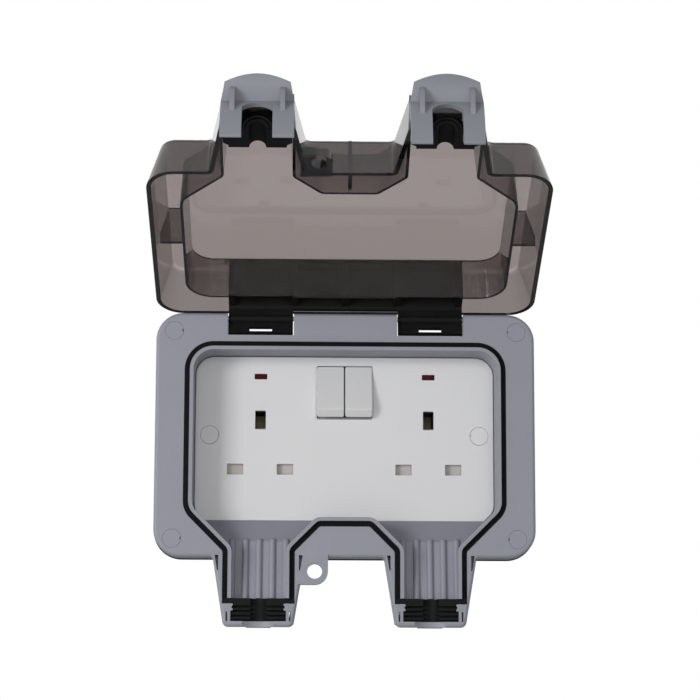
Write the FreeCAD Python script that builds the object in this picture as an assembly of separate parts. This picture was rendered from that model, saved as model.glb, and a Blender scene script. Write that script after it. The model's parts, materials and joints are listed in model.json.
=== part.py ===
"""Outdoor weatherproof double switched socket, with its smoked cover open.

Millimetres. The wall is the plane Y = 0 and the front faces -Y, +X is to the right and +Z is up.
X = 0 and Z = 0 are the middle of the rectangular part of the front frame.
Depths are counted backwards from the front face of the frame, so a depth d lies at Y = d - FRONT.
The cover and its latches are drawn closed and latched, and then turned to where the rest pose has them.
"""
import FreeCAD, Part
import math
import os

from FreeCAD import Vector

os.makedirs("parts", exist_ok=True)

# Whole product
FRONT = 52.0                  # wall to the front face of the frame
FRAME_W = 167.5
FRAME_H = 108.0
FRAME_R = 12.0
FRAME_DEPTH = 12.0            # depth of the frame's side wall
FRAME_WALL = 2.4
FRAME_SKIN = 2.6
EDGE_ROUND = 1.5              # rounded front edge of the frame
SOCKET_PITCH = 75.2           # middle of one outlet to the middle of the other
PLATE_RISE = 1.6              # fixing line of the plate above the frame's middle

# Cable snouts under the frame
SNOUT_LENGTH = 30.3
SNOUT_HALF_ROOT = 20.1
SNOUT_HALF_END = 15.2
SNOUT_R = 2.5

# Line of the seal between frame and cover
SEAL_INSET_SIDE = 13.95       # drawn in from the frame's sides
SEAL_INSET_TOP = 13.9
SEAL_INSET_FOOT = 14.6
SEAL_BEND_RISE = 20.6         # where it starts to bend, above the frame's lower edge
SEAL_HALF_SNOUT = 14.6
SEAL_R = 11.5
SEAL_BEND_R = 9.0
GROOVE_HALF = 1.2
GROOVE_DEPTH = 3.0
GASKET_CLEAR = 0.1
LIP = 1.6
LIP_RAISE = 2.0
COLLAR = 1.8                  # plastic outside the groove
COLLAR_DEPTH = 5.5
TUB_WALL = 2.0
TUB_FLOOR = 2.0
RECESS = 17.0                 # front face of the frame to the face of the plate

# Ramps and cable seals in the snouts
RAMP_KNEE_DROP = 10.0
RAMP_KNEE_DEPTH = 9.5
RAMP_END_DEPTH = 4.6
RAMP_WALL = 2.2
RAMP_RIBS = 5
RAMP_RIB_PITCH = 5.9
RAMP_RIB_R = 1.5
SEAL_BLOCK_LENGTH = 12.3      # rubber, from the end of the snout to the end of the ramp
SEAL_FLANGE = 2.3
SEAL_BLOCK_HALF = 12.0
SEAL_BLOCK_DEPTH = 10.8
SEAL_FLOOR = 1.2
SEAL_FIN = 1.0
SEAL_FIN_PITCH = 2.0
SEAL_FIN_HEIGHT = 3.0
SEAL_FORE = 1.5               # upper seal reaches this far over the ramp, between the lips
CABLE_R = 3.4
SEAL_CLEAR = 0.1
POCKET_WALL = 1.3
POCKET_GAP = 0.7
LUG_HEAD_R = 1.9
LUG_HEAD_DROP = 3.8
PRONG = 1.0
SADDLE_R = 10.0
SADDLE_DEPTH = 3.0

# Padlock eye, the same on the frame and on the cover
EYE_SIDE = 24.5               # right of the left outlet
EYE_DROP = 6.1                # below the frame's lower edge
EYE_R = 5.8
EYE_HOLE_R = 3.3
EYE_DEPTH = 5.0
EYE_ROOT = 3.0

# Hinge
NOTCH_W = 29.4
NOTCH_DEPTH = 9.9
NOTCH_CHEEK = 2.4
PIN_R = 1.0
PIN_CLEAR = 0.06
PIN_DROP = 2.0                # pin below the frame's top edge
PIN_DEPTH = 3.5
KNUCKLE_R = 2.0
TONGUE_REACH = 7.2
TONGUE_THICK = 2.0
TONGUE_CLEAR = 0.4
TONGUE_SLOT_W = 10.0
TONGUE_SLOT = 1.6
TONGUE_SLOT_AT = 4.6
OPEN_ANGLE = 112.0

# Cover
COVER_GAP = 0.5               # closed cover in front of the frame
COVER_DEPTH = 21.0
COVER_WALL = 2.0
COVER_DRAFT = 5.6             # side walls lean in by this over the depth
SNOUT_DRAFT = 1.3
SNOUT_END_DRAFT = 3.0
COVER_ROUND = 3.0
SKIRT_HALF = 0.6
SKIRT_ROOT = 0.6
SKIRT_LEAN = 1.3
SKIRT_SHORT = 4.5             # skirt stops short of the end of the snout
RIB = 1.6
RIB_SETBACK = 1.5
EYE_COVER_DEPTH = 4.0

# Latches
LATCH_HALF = 14.6
LATCH_LEG_IN = 6.1
LATCH_PIVOT_OUT = 1.2         # pivot beyond the snout's end
LATCH_PIVOT_DEPTH = 5.0
LATCH_THICK = 2.4
LATCH_GAP = 1.8
LATCH_REACH = 16.3
LATCH_BULGE = 1.5
LATCH_CREASE = 5.3
LATCH_NOSE = 1.2              # rounding of the outer corner of a leg
HOOK = 1.1
HOOK_SLOPE = 1.35             # lead-in slope of a leg's end
HOOK_HEIGHT = 1.2
HOOK_CLEAR = 0.35
TAB_LENGTH = 11.8
TAB_LEAN = 45.0
TAB_THICK = 2.2
TAB_SHOULDER_HALF = 13.2
TAB_CROWN = 2.1
TAB_SCOOP = 1.1               # hollow of the finger face
GUSSET_X = 10.0
GUSSET = 2.0
GUSSET_UP = 6.5               # up the tab from the crease
GUSSET_DOWN = 3.2             # down the back from the pivot
LATCH_PIN_R = 0.8
LATCH_PIN_END = 0.4
BARREL_R = 1.7
EAR = 2.6
EAR_R = 1.6
EAR_CLEAR = 0.3
ARCH_RISE = 3.6
MOUTH_R = 6.9
LATCH_LIFT_LEFT = 14.5        # unlatched angle of the rest pose
LATCH_LIFT_RIGHT = 5.5

# Screws and their caps
FRAME_SCREW_INSET_X = 8.05
FRAME_SCREW_INSET_Z = 8.0
CAP_R = 4.0
CAP_CLEAR = 0.1
CAP_THICK = 1.6
CAP_NOTCH = 0.6
SCREW_R = 2.0
SCREW_HEAD_R = 3.5
SCREW_HEAD = 2.4
FRAME_HEAD_DEPTH = 4.2
FRAME_BOSS_R = 5.4
BOX_BOSS_LENGTH = 14.0
PLATE_SCREW_INSET = 9.5       # in from the seal line
PLATE_SCREW_R = 1.75
PLATE_HEAD_R = 3.2
PLATE_HEAD = 1.8

# Plate with its outlets
PLATE_SKIN = 2.5
PLATE_EDGE = 4.0
PLATE_CLEAR = 0.3
PLATE_WALL = 2.0
PIN_SPACING = 22.2            # line to neutral, and earth to their row
EARTH_RISE = 6.9
EARTH_W = 4.7
EARTH_H = 8.3
POLE_W = 7.2
POLE_H = 4.7
LENS_W = 5.4
LENS_H = 2.2
LENS_INSET = 8.9              # middle of a lens below the plate's top edge
LENS_LENGTH = 6.0
ROCKER_W = 12.1
ROCKER_H = 23.4
ROCKER_INSET = 4.1            # top of the rockers below the plate's top edge
ROCKER_GAP = 0.5
ROCKER_MARGIN = 0.6
ROCKER_PROUD = 5.0
ROCKER_PIVOT_DEPTH = 22.0
ROCKER_PIVOT_R = 1.2
ROCKER_BACK = 1.4
ROCKER_BEVEL = 3.3

# Socket works behind the plate
BODY_WALL = 1.2
BODY_R = 4.0
BODY_GAP = 0.1
BODY_DEPTH = 20.0
SHUTTER_THICK = 2.0
SHUTTER_H = 6.0
SHUTTER_CLEAR = 0.3
SHUTTER_TRAVEL = 5.6
SHUTTER_STEM = 7.0
SPRING_R = 1.9
SPRING_WIRE_R = 0.3
SPRING_LENGTH = 9.0
SPRING_TURNS = 5
CONTACT_SHEET = 0.8
CONTACT_LENGTH = 10.0
CONTACT_START = 9.0
CONTACT_CLEAR = 0.2
TERMINAL = 7.0
TERMINAL_BLOCK = 4.5
TERMINAL_SCREW_R = 1.6
TERMINAL_SCREW_PROUD = 2.0
EARTH_STRAP = 5.0

# Back box
BOX_GASKET = 2.0
BOX_GASKET_PROUD = 0.4
BOX_GASKET_LAND = 3.0
BOX_FLANGE = 2.5
BOX_FLANGE_INSET = 1.0
BOX_INSET_SIDE = 9.75
BOX_INSET_TOP = 10.4
BOX_INSET_FOOT = 5.0
BOX_R = 8.0
BOX_TAPER = 2.0
BOX_WALL = 2.2
BOX_PILLAR_R = 4.2
WALL_HOLE_X = 50.0
WALL_HOLE_Z = 30.0
WALL_HOLE_R = 2.6
WALL_HOLE_SINK = 5.0
WALL_HOLE_BOSS = 2.0
KNOCKOUT_R = 10.3
KNOCKOUT_STEP = 1.0
KNOCKOUT_RING = 1.2

OUTLETS = (-SOCKET_PITCH / 2, SOCKET_PITCH / 2)
TOP = FRAME_H / 2
RIM = -COVER_GAP
PLATE_FLOOR = RECESS + PLATE_EDGE
TUB_DEPTH = PLATE_FLOOR + TUB_FLOOR
SNOUT_END = -TOP - SNOUT_LENGTH
LIP_IN = GROOVE_HALF + LIP
SEAL_HALF_W = FRAME_W / 2 - SEAL_INSET_SIDE
SEAL_TOP = TOP - SEAL_INSET_TOP
SEAL_SIDE_END = SEAL_BEND_RISE - TOP
SEAL_BOTTOM = SEAL_INSET_FOOT - TOP
SEAL_BLOCK_TOP = SNOUT_END + SEAL_BLOCK_LENGTH
SKIRT_END = SNOUT_END + SKIRT_SHORT
EYE_X = OUTLETS[0] + EYE_SIDE
EYE_Z = -TOP - EYE_DROP
FRAME_SCREW_X = FRAME_W / 2 - FRAME_SCREW_INSET_X
FRAME_SCREW_Z = TOP - FRAME_SCREW_INSET_Z
PLATE_SCREW_X = SEAL_HALF_W - PLATE_SCREW_INSET
PLATE_TOP = SEAL_TOP - LIP_IN - PLATE_CLEAR
PLATE_BOTTOM = SEAL_BOTTOM + LIP_IN
ROCKER_RISE = PLATE_TOP - ROCKER_INSET - ROCKER_H / 2 - PLATE_RISE
LENS_RISE = PLATE_TOP - LENS_INSET - PLATE_RISE
BODY_W = SOCKET_PITCH + PIN_SPACING + POLE_W + 2 * (CONTACT_SHEET + CONTACT_CLEAR + BODY_WALL)
BODY_H = 2 * (ROCKER_RISE + ROCKER_H / 2 + ROCKER_MARGIN + BODY_WALL)
BODY_FRONT = RECESS + PLATE_SKIN + BODY_GAP
BODY_BACK = BODY_FRONT + BODY_DEPTH
BOX_START = FRAME_DEPTH + BOX_GASKET
BOX_HALF_W = FRAME_W / 2 - BOX_INSET_SIDE
BOX_TOP = TOP - BOX_INSET_TOP
BOX_BOTTOM = BOX_INSET_FOOT - TOP
HINGE = Vector(0, PIN_DEPTH - FRONT, TOP - PIN_DROP)
X_AXIS = Vector(1, 0, 0)
Y_AXIS = Vector(0, 1, 0)


# Building blocks

def corner(before, here, after, radius):
    """Ends and middle of the arc that rounds one corner of an outline."""
    u = (before - here).normalize()
    w = (after - here).normalize()
    half = u.getAngle(w) / 2
    inward = (u + w).normalize()
    reach = radius / math.tan(half)
    middle = here + inward * (radius / math.sin(half) - radius)
    return here + u * reach, middle, here + w * reach


def wire(corners, depth):
    """Closed wire at a depth through (x, z, radius) corners, each rounded by its radius."""
    points = [Vector(x, depth - FRONT, z) for x, z, r in corners]
    count = len(points)
    edges = []
    last = None
    first = None
    for i, (x, z, r) in enumerate(corners):
        here = points[i]
        if r > 0:
            start, middle, end = corner(points[i - 1], here, points[(i + 1) % count], r)
        else:
            start, end = here, here
        if last is not None:
            edges.append(Part.makeLine(last, start))
        else:
            first = start
        if r > 0:
            edges.append(Part.Arc(start, middle, end).toShape())
        last = end
    edges.append(Part.makeLine(last, first))
    return Part.Wire(edges)


def slab(corners, near, far):
    """Prism of an outline between two depths."""
    return Part.Face(wire(corners, near)).extrude(Vector(0, far - near, 0))


def tapered(near_corners, near, far_corners, far):
    """Solid that passes straight from one outline to another."""
    return Part.makeLoft([wire(near_corners, near), wire(far_corners, far)], True, True)


def grow(corners, amount):
    """Outline with every side moved outwards, and the corner radii changed to suit."""
    count = len(corners)
    result = []
    for i, (x, z, r) in enumerate(corners):
        x0, z0, r0 = corners[i - 1]
        x1, z1, r1 = corners[(i + 1) % count]
        a = Vector(x - x0, 0, z - z0).normalize()
        b = Vector(x1 - x, 0, z1 - z).normalize()
        turn = a.x * b.z - a.z * b.x
        out_a = Vector(-a.z, 0, a.x)
        out_b = Vector(-b.z, 0, b.x)
        move = (out_a + out_b) * (amount / (1 + out_a.dot(out_b)))
        new_r = r - amount if turn > 0 else r + amount
        result.append((x + move.x, z + move.z, max(new_r, 0.3) if r > 0 else 0))
    return result


def mirrored(right_half):
    """Whole outline, clockwise from the front, from the corners right of the middle."""
    left_half = [(-x, z, r) for x, z, r in reversed(right_half)]
    return right_half + left_half


def rectangle(width, height, x=0.0, z=0.0, radius=0.0):
    """Corners of a rectangle about a middle."""
    w, h = width / 2, height / 2
    signs = ((w, h), (w, -h), (-w, -h), (-w, h))
    return [(x + dx, z + dz, radius) for dx, dz in signs]


def block(x0, x1, z0, z1, near, far):
    """Box between two values on each axis."""
    return Part.makeBox(x1 - x0, far - near, z1 - z0, Vector(x0, near - FRONT, z0))


def rod(x, z, radius, near, far):
    """Cylinder along Y between two depths."""
    return Part.makeCylinder(radius, far - near, Vector(x, near - FRONT, z), Y_AXIS)


def rod_x(depth, z, radius, x0, x1):
    """Cylinder along X."""
    return Part.makeCylinder(radius, x1 - x0, Vector(x0, depth - FRONT, z), X_AXIS)


def side_profile(points, x0, x1):
    """Prism along X of a profile given as (depth, z) points."""
    loop = [Vector(x0, depth - FRONT, z) for depth, z in points]
    face = Part.Face(Part.makePolygon(loop + [loop[0]]))
    return face.extrude(Vector(x1 - x0, 0, 0))


def union(shapes):
    """One solid from several that touch or overlap."""
    shapes = list(shapes)
    return shapes[0].multiFuse(shapes[1:]).removeSplitter()


def group(shapes):
    """Separate solids in one node."""
    return Part.makeCompound([solid for shape in shapes for solid in shape.Solids])


# Outlines shared by the frame and the cover

def plan(side=0.0, snout=0.0, end=0.0):
    """Outline of the frame with its snouts, with the sides, the snouts and their ends drawn in."""
    half_w = FRAME_W / 2 - side
    half_h = TOP - side
    slope = (SNOUT_HALF_ROOT - SNOUT_HALF_END) / SNOUT_LENGTH
    root = SNOUT_HALF_ROOT - snout + slope * side
    tip = SNOUT_HALF_END - snout
    x = SOCKET_PITCH / 2
    return mirrored([
        (half_w, half_h, FRAME_R - side),
        (half_w, -half_h, FRAME_R - side),
        (x + root, -half_h, EDGE_ROUND + side / 4),
        (x + tip, SNOUT_END + end, SNOUT_R),
        (x - tip, SNOUT_END + end, SNOUT_R),
        (x - root, -half_h, EDGE_ROUND + side / 4),
    ])


def seal_line(offset=0.0):
    """Middle of the gasket groove, moved outwards, and run on past the ends of the snouts."""
    x = SOCKET_PITCH / 2
    outer = x + SEAL_HALF_SNOUT
    inner = x - SEAL_HALF_SNOUT
    bend_drop = SEAL_HALF_W - outer
    beyond = SNOUT_END - SNOUT_LENGTH
    line = mirrored([
        (SEAL_HALF_W, SEAL_TOP, SEAL_R),
        (SEAL_HALF_W, SEAL_SIDE_END, SEAL_BEND_R),
        (outer, SEAL_SIDE_END - bend_drop, LIP_IN),
        (outer, beyond, LIP_IN + LIP),
        (inner, beyond, LIP_IN + LIP),
        (inner, SEAL_SIDE_END - bend_drop, LIP_IN),
        (inner - (SEAL_BOTTOM - SEAL_SIDE_END + bend_drop), SEAL_BOTTOM, LIP_IN),
    ])
    return grow(line, offset)


def seal_ring(outer, inner, near, far, lowest):
    """Wall that follows the seal line, ending in the snouts at a height."""
    ring = slab(seal_line(outer), near, far).cut(slab(seal_line(inner), near, far))
    keep = block(-FRAME_W, FRAME_W, lowest, TOP, near, far)
    return ring.common(keep)


def eye(near, far):
    """Flat ear with the padlock hole, run into the edge beside it."""
    root = -TOP + EYE_ROOT
    snout_side = EYE_X - EYE_R - LIP
    ear = union([
        rod(EYE_X, EYE_Z, EYE_R, near, far),
        block(EYE_X, EYE_X + EYE_R, EYE_Z, root, near, far),
        block(snout_side, EYE_X, EYE_Z - EYE_R, root, near, far),
    ])
    return ear


# Front frame

def frame_screw_places():
    """Middles of the four corner screws."""
    return [(sx * FRAME_SCREW_X, sz * FRAME_SCREW_Z) for sx in (-1, 1) for sz in (1, -1)]


def hinge_block(x, grown):
    """Solid round one hinge notch, or the notch itself when grown is zero."""
    half = NOTCH_W / 2 + grown
    return block(x - half, x + half, TOP - NOTCH_DEPTH - grown, TOP + EDGE_ROUND, RIM, BOX_START)


def frame_shell():
    """Outer moulding with its rounded front edge, hollow from behind."""
    body = slab(plan(), 0, FRAME_DEPTH)
    front_edges = [e for e in body.Edges if abs(e.BoundBox.YMax + FRONT) < 0.01]
    body = body.makeFillet(EDGE_ROUND, front_edges)
    body = body.fuse(eye(0, EYE_DEPTH))
    hollow = slab(grow(plan(), -FRAME_WALL), FRAME_SKIN, FRAME_DEPTH)
    kept = [rod(x, z, FRAME_BOSS_R, 0, FRAME_DEPTH) for x, z in frame_screw_places()]
    kept += [hinge_block(x, NOTCH_CHEEK) for x in OUTLETS]
    kept += [snout_core(x) for x in OUTLETS]
    kept.append(slab(seal_line(GROOVE_HALF + COLLAR), 0, COLLAR_DEPTH))
    for shape in kept:
        hollow = hollow.cut(shape)
    return body.cut(hollow)


def ramp_sheet():
    """Sloping floor from the plate down each snout, cut to the line of the lip."""
    knee = PLATE_BOTTOM - RAMP_KNEE_DROP
    foot = PLATE_BOTTOM - TUB_WALL
    sheet = side_profile([
        (RECESS, PLATE_BOTTOM),
        (RAMP_KNEE_DEPTH, knee),
        (RAMP_END_DEPTH, SEAL_BLOCK_TOP),
        (RAMP_END_DEPTH + RAMP_WALL, SEAL_BLOCK_TOP),
        (RAMP_KNEE_DEPTH + RAMP_WALL, knee),
        (RECESS + RAMP_WALL, foot),
        (TUB_DEPTH, foot),
        (TUB_DEPTH, PLATE_BOTTOM),
    ], -SEAL_HALF_W, SEAL_HALF_W)
    return sheet.common(slab(seal_line(-GROOVE_HALF - LIP / 2), 0, TUB_DEPTH))


def ramp_ribs(x):
    """Half-round ribs up one ramp, each with a round head."""
    knee = PLATE_BOTTOM - RAMP_KNEE_DROP
    head = Vector(0, RAMP_KNEE_DEPTH - FRONT, knee)
    foot = Vector(0, RAMP_END_DEPTH - FRONT, SEAL_BLOCK_TOP)
    run = foot - head
    ribs = []
    for i in range(RAMP_RIBS):
        side = x + (i - (RAMP_RIBS - 1) / 2) * RAMP_RIB_PITCH
        start = head + Vector(side, 0, 0)
        ribs.append(Part.makeCylinder(RAMP_RIB_R, run.Length, start, run))
        ribs.append(Part.makeSphere(RAMP_RIB_R, start))
    return ribs


def snout_core(x):
    """Solid end of one snout before the pocket for its seal is cut."""
    half = SEAL_BLOCK_HALF + SEAL_CLEAR + POCKET_WALL
    top = SEAL_BLOCK_TOP + POCKET_WALL
    return block(x - half, x + half, SNOUT_END, top, 0, SEAL_BLOCK_DEPTH + SEAL_FLOOR)


def seal_pocket(x):
    """Hollow for one lower cable seal, short of the round-headed lugs and prongs that hold it."""
    low = SNOUT_END + FRAME_WALL
    half = SEAL_BLOCK_HALF + SEAL_CLEAR
    pocket = block(x - half, x + half, low, SEAL_BLOCK_TOP, RIM, SEAL_BLOCK_DEPTH)
    lug_z = SEAL_BLOCK_TOP - LUG_HEAD_DROP
    for side in (-1, 1):
        wall = x + side * (half + POCKET_WALL)
        pocket = pocket.cut(rod(wall, lug_z, LUG_HEAD_R, 0, SEAL_BLOCK_DEPTH))
        a, b = sorted((x + side * (half - PRONG), wall))
        for dz in (-PRONG, PRONG):
            pocket = pocket.cut(block(a, b, lug_z + dz - PRONG / 2, lug_z + dz + PRONG / 2, 0, COLLAR))
        a, b = sorted((wall, wall + side * POCKET_GAP))
        pocket = pocket.fuse(block(a, b, low, lug_z - LUG_HEAD_R, RIM, COLLAR_DEPTH))
    return pocket


def snout_pockets(x):
    """Narrow three-cornered pockets beside the groove at the root of one snout."""
    pockets = []
    for side in (-1, 1):
        inner = x + side * (SEAL_HALF_SNOUT + GROOVE_HALF + COLLAR)
        corners = [(inner, -TOP + LIP / 2, 0), (inner + side * LIP, -TOP + LIP / 2, 0),
                   (inner + side * PRONG / 2, -TOP - EYE_R, 0), (inner, -TOP - EYE_R, 0)]
        if side < 0:
            corners.reverse()
        pockets.append(slab(corners, RIM, COLLAR_DEPTH))
    return pockets


def latch_catch(x):
    """Recesses behind the end of one snout that the hooks of its latch reach into."""
    near = hook_depth() - HOOK_HEIGHT - HOOK_CLEAR
    cuts = []
    for side in (-1, 1):
        a, b = sorted((x + side * (LATCH_LEG_IN - 2 * HOOK_CLEAR), x + side * (LATCH_HALF + 2 * HOOK_CLEAR)))
        cuts.append(block(a, b, SNOUT_END - 1, SNOUT_END + HOOK + HOOK_CLEAR, near, FRAME_DEPTH))
    return cuts


def frame_screw_cuts():
    """Stepped holes for the corner screws and their caps."""
    cuts = []
    for x, z in frame_screw_places():
        cuts.append(rod(x, z, CAP_R + CAP_CLEAR, RIM, CAP_THICK))
        cuts.append(rod(x, z, SCREW_HEAD_R + CAP_CLEAR, RIM, FRAME_HEAD_DEPTH + SCREW_HEAD))
        cuts.append(rod(x, z, SCREW_R + CAP_CLEAR, RIM, FRAME_DEPTH))
    return cuts


def front_frame():
    """Grey frame with the recess, gasket groove, ribbed ramps and seal pockets."""
    foot = PLATE_BOTTOM - TUB_WALL
    tub_out = TUB_WALL - LIP_IN
    shell = frame_shell()
    recess = slab(seal_line(-LIP_IN), RIM, PLATE_FLOOR)
    window = block(-FRAME_W, FRAME_W, SEAL_BLOCK_TOP, TOP, RIM, PLATE_FLOOR)
    opening = recess.common(window)
    shell = shell.cut(opening)
    deep = seal_ring(tub_out, -LIP_IN, 0, TUB_DEPTH, foot)
    shallow = seal_ring(tub_out, -LIP_IN, 0, FRAME_DEPTH, SEAL_BLOCK_TOP)
    lip = seal_ring(-GROOVE_HALF, -LIP_IN, -LIP_RAISE, 0, SEAL_BLOCK_TOP)
    floor_cut = rectangle(BODY_W + 2 * PLATE_CLEAR, BODY_H + 2 * PLATE_CLEAR, 0, PLATE_RISE, BODY_R)
    floor = slab(seal_line(tub_out), PLATE_FLOOR, TUB_DEPTH)
    floor = floor.common(block(-FRAME_W, FRAME_W, foot, TOP, PLATE_FLOOR, TUB_DEPTH))
    floor = floor.cut(slab(floor_cut, PLATE_FLOOR, TUB_DEPTH))
    pieces = [shell, deep, shallow, lip, floor, ramp_sheet()]
    for x in OUTLETS:
        inside = block(x - SEAL_HALF_SNOUT, x + SEAL_HALF_SNOUT, SEAL_BLOCK_TOP, TOP, 0, FRAME_DEPTH)
        pieces += [rib.common(inside) for rib in ramp_ribs(x)]
    frame = union(pieces)
    cuts = frame_screw_cuts()
    cuts.append(seal_ring(GROOVE_HALF, -GROOVE_HALF, RIM, GROOVE_DEPTH, SEAL_BLOCK_TOP - SEAL_FLANGE))
    cuts.append(rod(EYE_X, EYE_Z, EYE_HOLE_R, RIM, EYE_DEPTH))
    for x in OUTLETS:
        cuts.append(hinge_block(x, 0))
        half = NOTCH_W / 2 + NOTCH_CHEEK
        cuts.append(rod_x(PIN_DEPTH, TOP - PIN_DROP, PIN_R, x - half, x + half))
        cuts.append(seal_flange(x, SEAL_CLEAR))
        cuts.append(seal_pocket(x))
        saddle = Vector(x, SADDLE_DEPTH - SADDLE_R - FRONT, SNOUT_END)
        cuts.append(Part.makeCylinder(SADDLE_R, FRAME_WALL, saddle))
        cuts += snout_pockets(x)
        cuts += latch_catch(x)
    for side in (-1, 1):
        cuts.append(rod(side * PLATE_SCREW_X, PLATE_RISE, PLATE_SCREW_R + CAP_CLEAR, PLATE_FLOOR, TUB_DEPTH))
    return frame.cut(Part.makeCompound(cuts))


# Seals and gaskets

def seal_flange(x, extra):
    """Wide top of one lower cable seal, from one end of the gasket to the other."""
    half = SEAL_HALF_SNOUT + GROOVE_HALF - GASKET_CLEAR + extra
    low = SEAL_BLOCK_TOP - SEAL_FLANGE - extra
    return block(x - half, x + half, low, SEAL_BLOCK_TOP, GASKET_CLEAR, GROOVE_DEPTH + extra)


def cover_gasket():
    """Black rubber in the groove round the recess."""
    reach = GROOVE_HALF - GASKET_CLEAR
    return seal_ring(reach, -reach, GASKET_CLEAR, GROOVE_DEPTH, SEAL_BLOCK_TOP)


def finned(x, half, root, tip, z_near, count, step):
    """Rubber fins across a cable, with the half-round way for the cable in each."""
    fins = []
    for i in range(count):
        z = z_near + i * step
        a, b = sorted((z, z + math.copysign(SEAL_FIN, step)))
        fins.append(block(x - half, x + half, a, b, min(root, tip), max(root, tip)))
    return fins


def lower_seal(x):
    """Ribbed rubber block in the end of one snout of the frame."""
    half = SEAL_BLOCK_HALF
    low = SNOUT_END + FRAME_WALL + SEAL_CLEAR
    top = SEAL_BLOCK_TOP - SEAL_CLEAR
    body = [block(x - half, x + half, low, top, SEAL_FIN_HEIGHT, SEAL_BLOCK_DEPTH)]
    body.append(seal_flange(x, 0))
    count = int((top - low) / SEAL_FIN_PITCH) + 1
    body += finned(x, half, SEAL_FIN_HEIGHT, GASKET_CLEAR, top, count, -SEAL_FIN_PITCH)
    seal = union(body)
    seal = seal.common(block(x - FRAME_R * 2, x + FRAME_R * 2, low, SEAL_BLOCK_TOP, 0, SEAL_BLOCK_DEPTH))
    cable = Part.makeCylinder(CABLE_R, FRAME_R, Vector(x, -FRONT, low))
    lug_z = SEAL_BLOCK_TOP - LUG_HEAD_DROP
    cuts = [cable]
    for side in (-1, 1):
        reach = SEAL_BLOCK_HALF + SEAL_CLEAR + POCKET_WALL
        cuts.append(rod(x + side * reach, lug_z, LUG_HEAD_R + SEAL_CLEAR, 0, SEAL_BLOCK_DEPTH))
        a, b = sorted((x + side * (half - PRONG - SEAL_CLEAR), x + side * reach))
        cuts.append(block(a, b, lug_z - 2 * PRONG, lug_z + 2 * PRONG, 0, COLLAR + SEAL_CLEAR))
    return seal.cut(Part.makeCompound(cuts))


def upper_seal(x):
    """Rubber block in the cover's snout that meets the lower one when the cover is shut."""
    near = RIM - COVER_DEPTH + COVER_WALL + SEAL_CLEAR
    lip_end = SEAL_BLOCK_TOP - EAR_CLEAR
    start = lip_end - SEAL_FORE
    fore = lip_end + SEAL_FORE
    end = SKIRT_END + SEAL_FIN
    tail = SNOUT_END + COVER_WALL + 2 * SEAL_CLEAR
    half = SEAL_HALF_SNOUT - SKIRT_HALF - SEAL_CLEAR
    tail_half = half - COVER_WALL
    lean = SNOUT_END_DRAFT
    body = tapered(rectangle(2 * half, start - end, x, (start + end) / 2, SEAL_FIN), RIM,
                   rectangle(2 * (half - SKIRT_LEAN), start - end, x, (start + end) / 2, SEAL_FIN), near)
    tongue = tapered(rectangle(2 * tail_half, start - tail, x, (start + tail) / 2), RIM,
                     rectangle(2 * (tail_half - SKIRT_LEAN), start - tail - lean, x,
                               (start + tail + lean) / 2), near)
    lobe = tapered(seal_lobe(x, half, start, lip_end, fore), RIM,
                   seal_lobe(x, half - SKIRT_LEAN, start, lip_end, fore), near)
    tip = Vector(x, RIM - FRONT, SNOUT_END + COVER_WALL / 4)
    length = fore - tip.z
    nose = Part.makeCylinder(MOUTH_R - EAR_CLEAR, start - tip.z, tip)
    keep = block(x - MOUTH_R, x + MOUTH_R, tip.z, start, near, RIM)
    body = union([body, tongue, lobe, nose.common(keep)])
    cuts = [Part.makeCylinder(CABLE_R, length, tip)]
    for i in range(2):
        outer = CABLE_R + SEAL_FIN * (1.8 * i + 1.7)
        ring = Part.makeCylinder(outer, SEAL_FIN, tip).cut(Part.makeCylinder(outer - SEAL_FIN * 0.7, SEAL_FIN, tip))
        cuts.append(ring)
    return body.cut(Part.makeCompound(cuts))


def seal_lobe(x, half, start, lip_end, fore):
    """Outline of the inner end of an upper seal, drawn in to pass between the lips."""
    slim = half - SKIRT_HALF - LIP
    return [(x + slim, fore, 0), (x + slim, lip_end, 0), (x + half, start, 0),
            (x - half, start, 0), (x - slim, lip_end, 0), (x - slim, fore, 0)]


def box_gasket():
    """Flat gasket between the frame and the back box, clear of the hinge notches."""
    outer = grow(rectangle(FRAME_W, FRAME_H, 0, 0, FRAME_R), BOX_GASKET_PROUD)
    inner = grow(box_mouth(), -BOX_GASKET_LAND / 2)
    sheet = slab(outer, FRAME_DEPTH, BOX_START).cut(slab(inner, FRAME_DEPTH, BOX_START))
    cuts = [rod(x, z, SCREW_R + CAP_CLEAR, FRAME_DEPTH, BOX_START) for x, z in frame_screw_places()]
    cuts += [gap_behind_notch(x) for x in OUTLETS]
    return sheet.cut(Part.makeCompound(cuts))


def gap_behind_notch(x):
    """Clear space behind one hinge notch, down to the top of the box."""
    half = NOTCH_W / 2
    low = TOP - NOTCH_DEPTH
    return block(x - half, x + half, low, FRAME_H, RIM, FRONT)


# Back box

def box_mouth():
    """Outline of the box where the frame meets it."""
    return rectangle(2 * BOX_HALF_W, BOX_TOP - BOX_BOTTOM, 0, (BOX_TOP + BOX_BOTTOM) / 2, BOX_R)


def knockouts():
    """Thin rings round the cable entries in the top, bottom and back of the box."""
    middle = (BOX_START + FRONT) / 2
    rings = []
    for x in OUTLETS:
        for z, way in ((BOX_BOTTOM - 1, 1), (BOX_TOP + 1, -1)):
            base = Vector(x, middle - FRONT, z)
            depth = 1 + BOX_TAPER + KNOCKOUT_STEP
            outer = Part.makeCylinder(KNOCKOUT_R, depth, base, Vector(0, 0, way))
            inner = Part.makeCylinder(KNOCKOUT_R - KNOCKOUT_RING, depth, base, Vector(0, 0, way))
            rings.append(outer.cut(inner))
    centre = rod(0, 0, KNOCKOUT_R, FRONT - KNOCKOUT_STEP, FRONT)
    rings.append(centre.cut(rod(0, 0, KNOCKOUT_R - KNOCKOUT_RING, FRONT - KNOCKOUT_STEP, FRONT)))
    return rings


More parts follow.
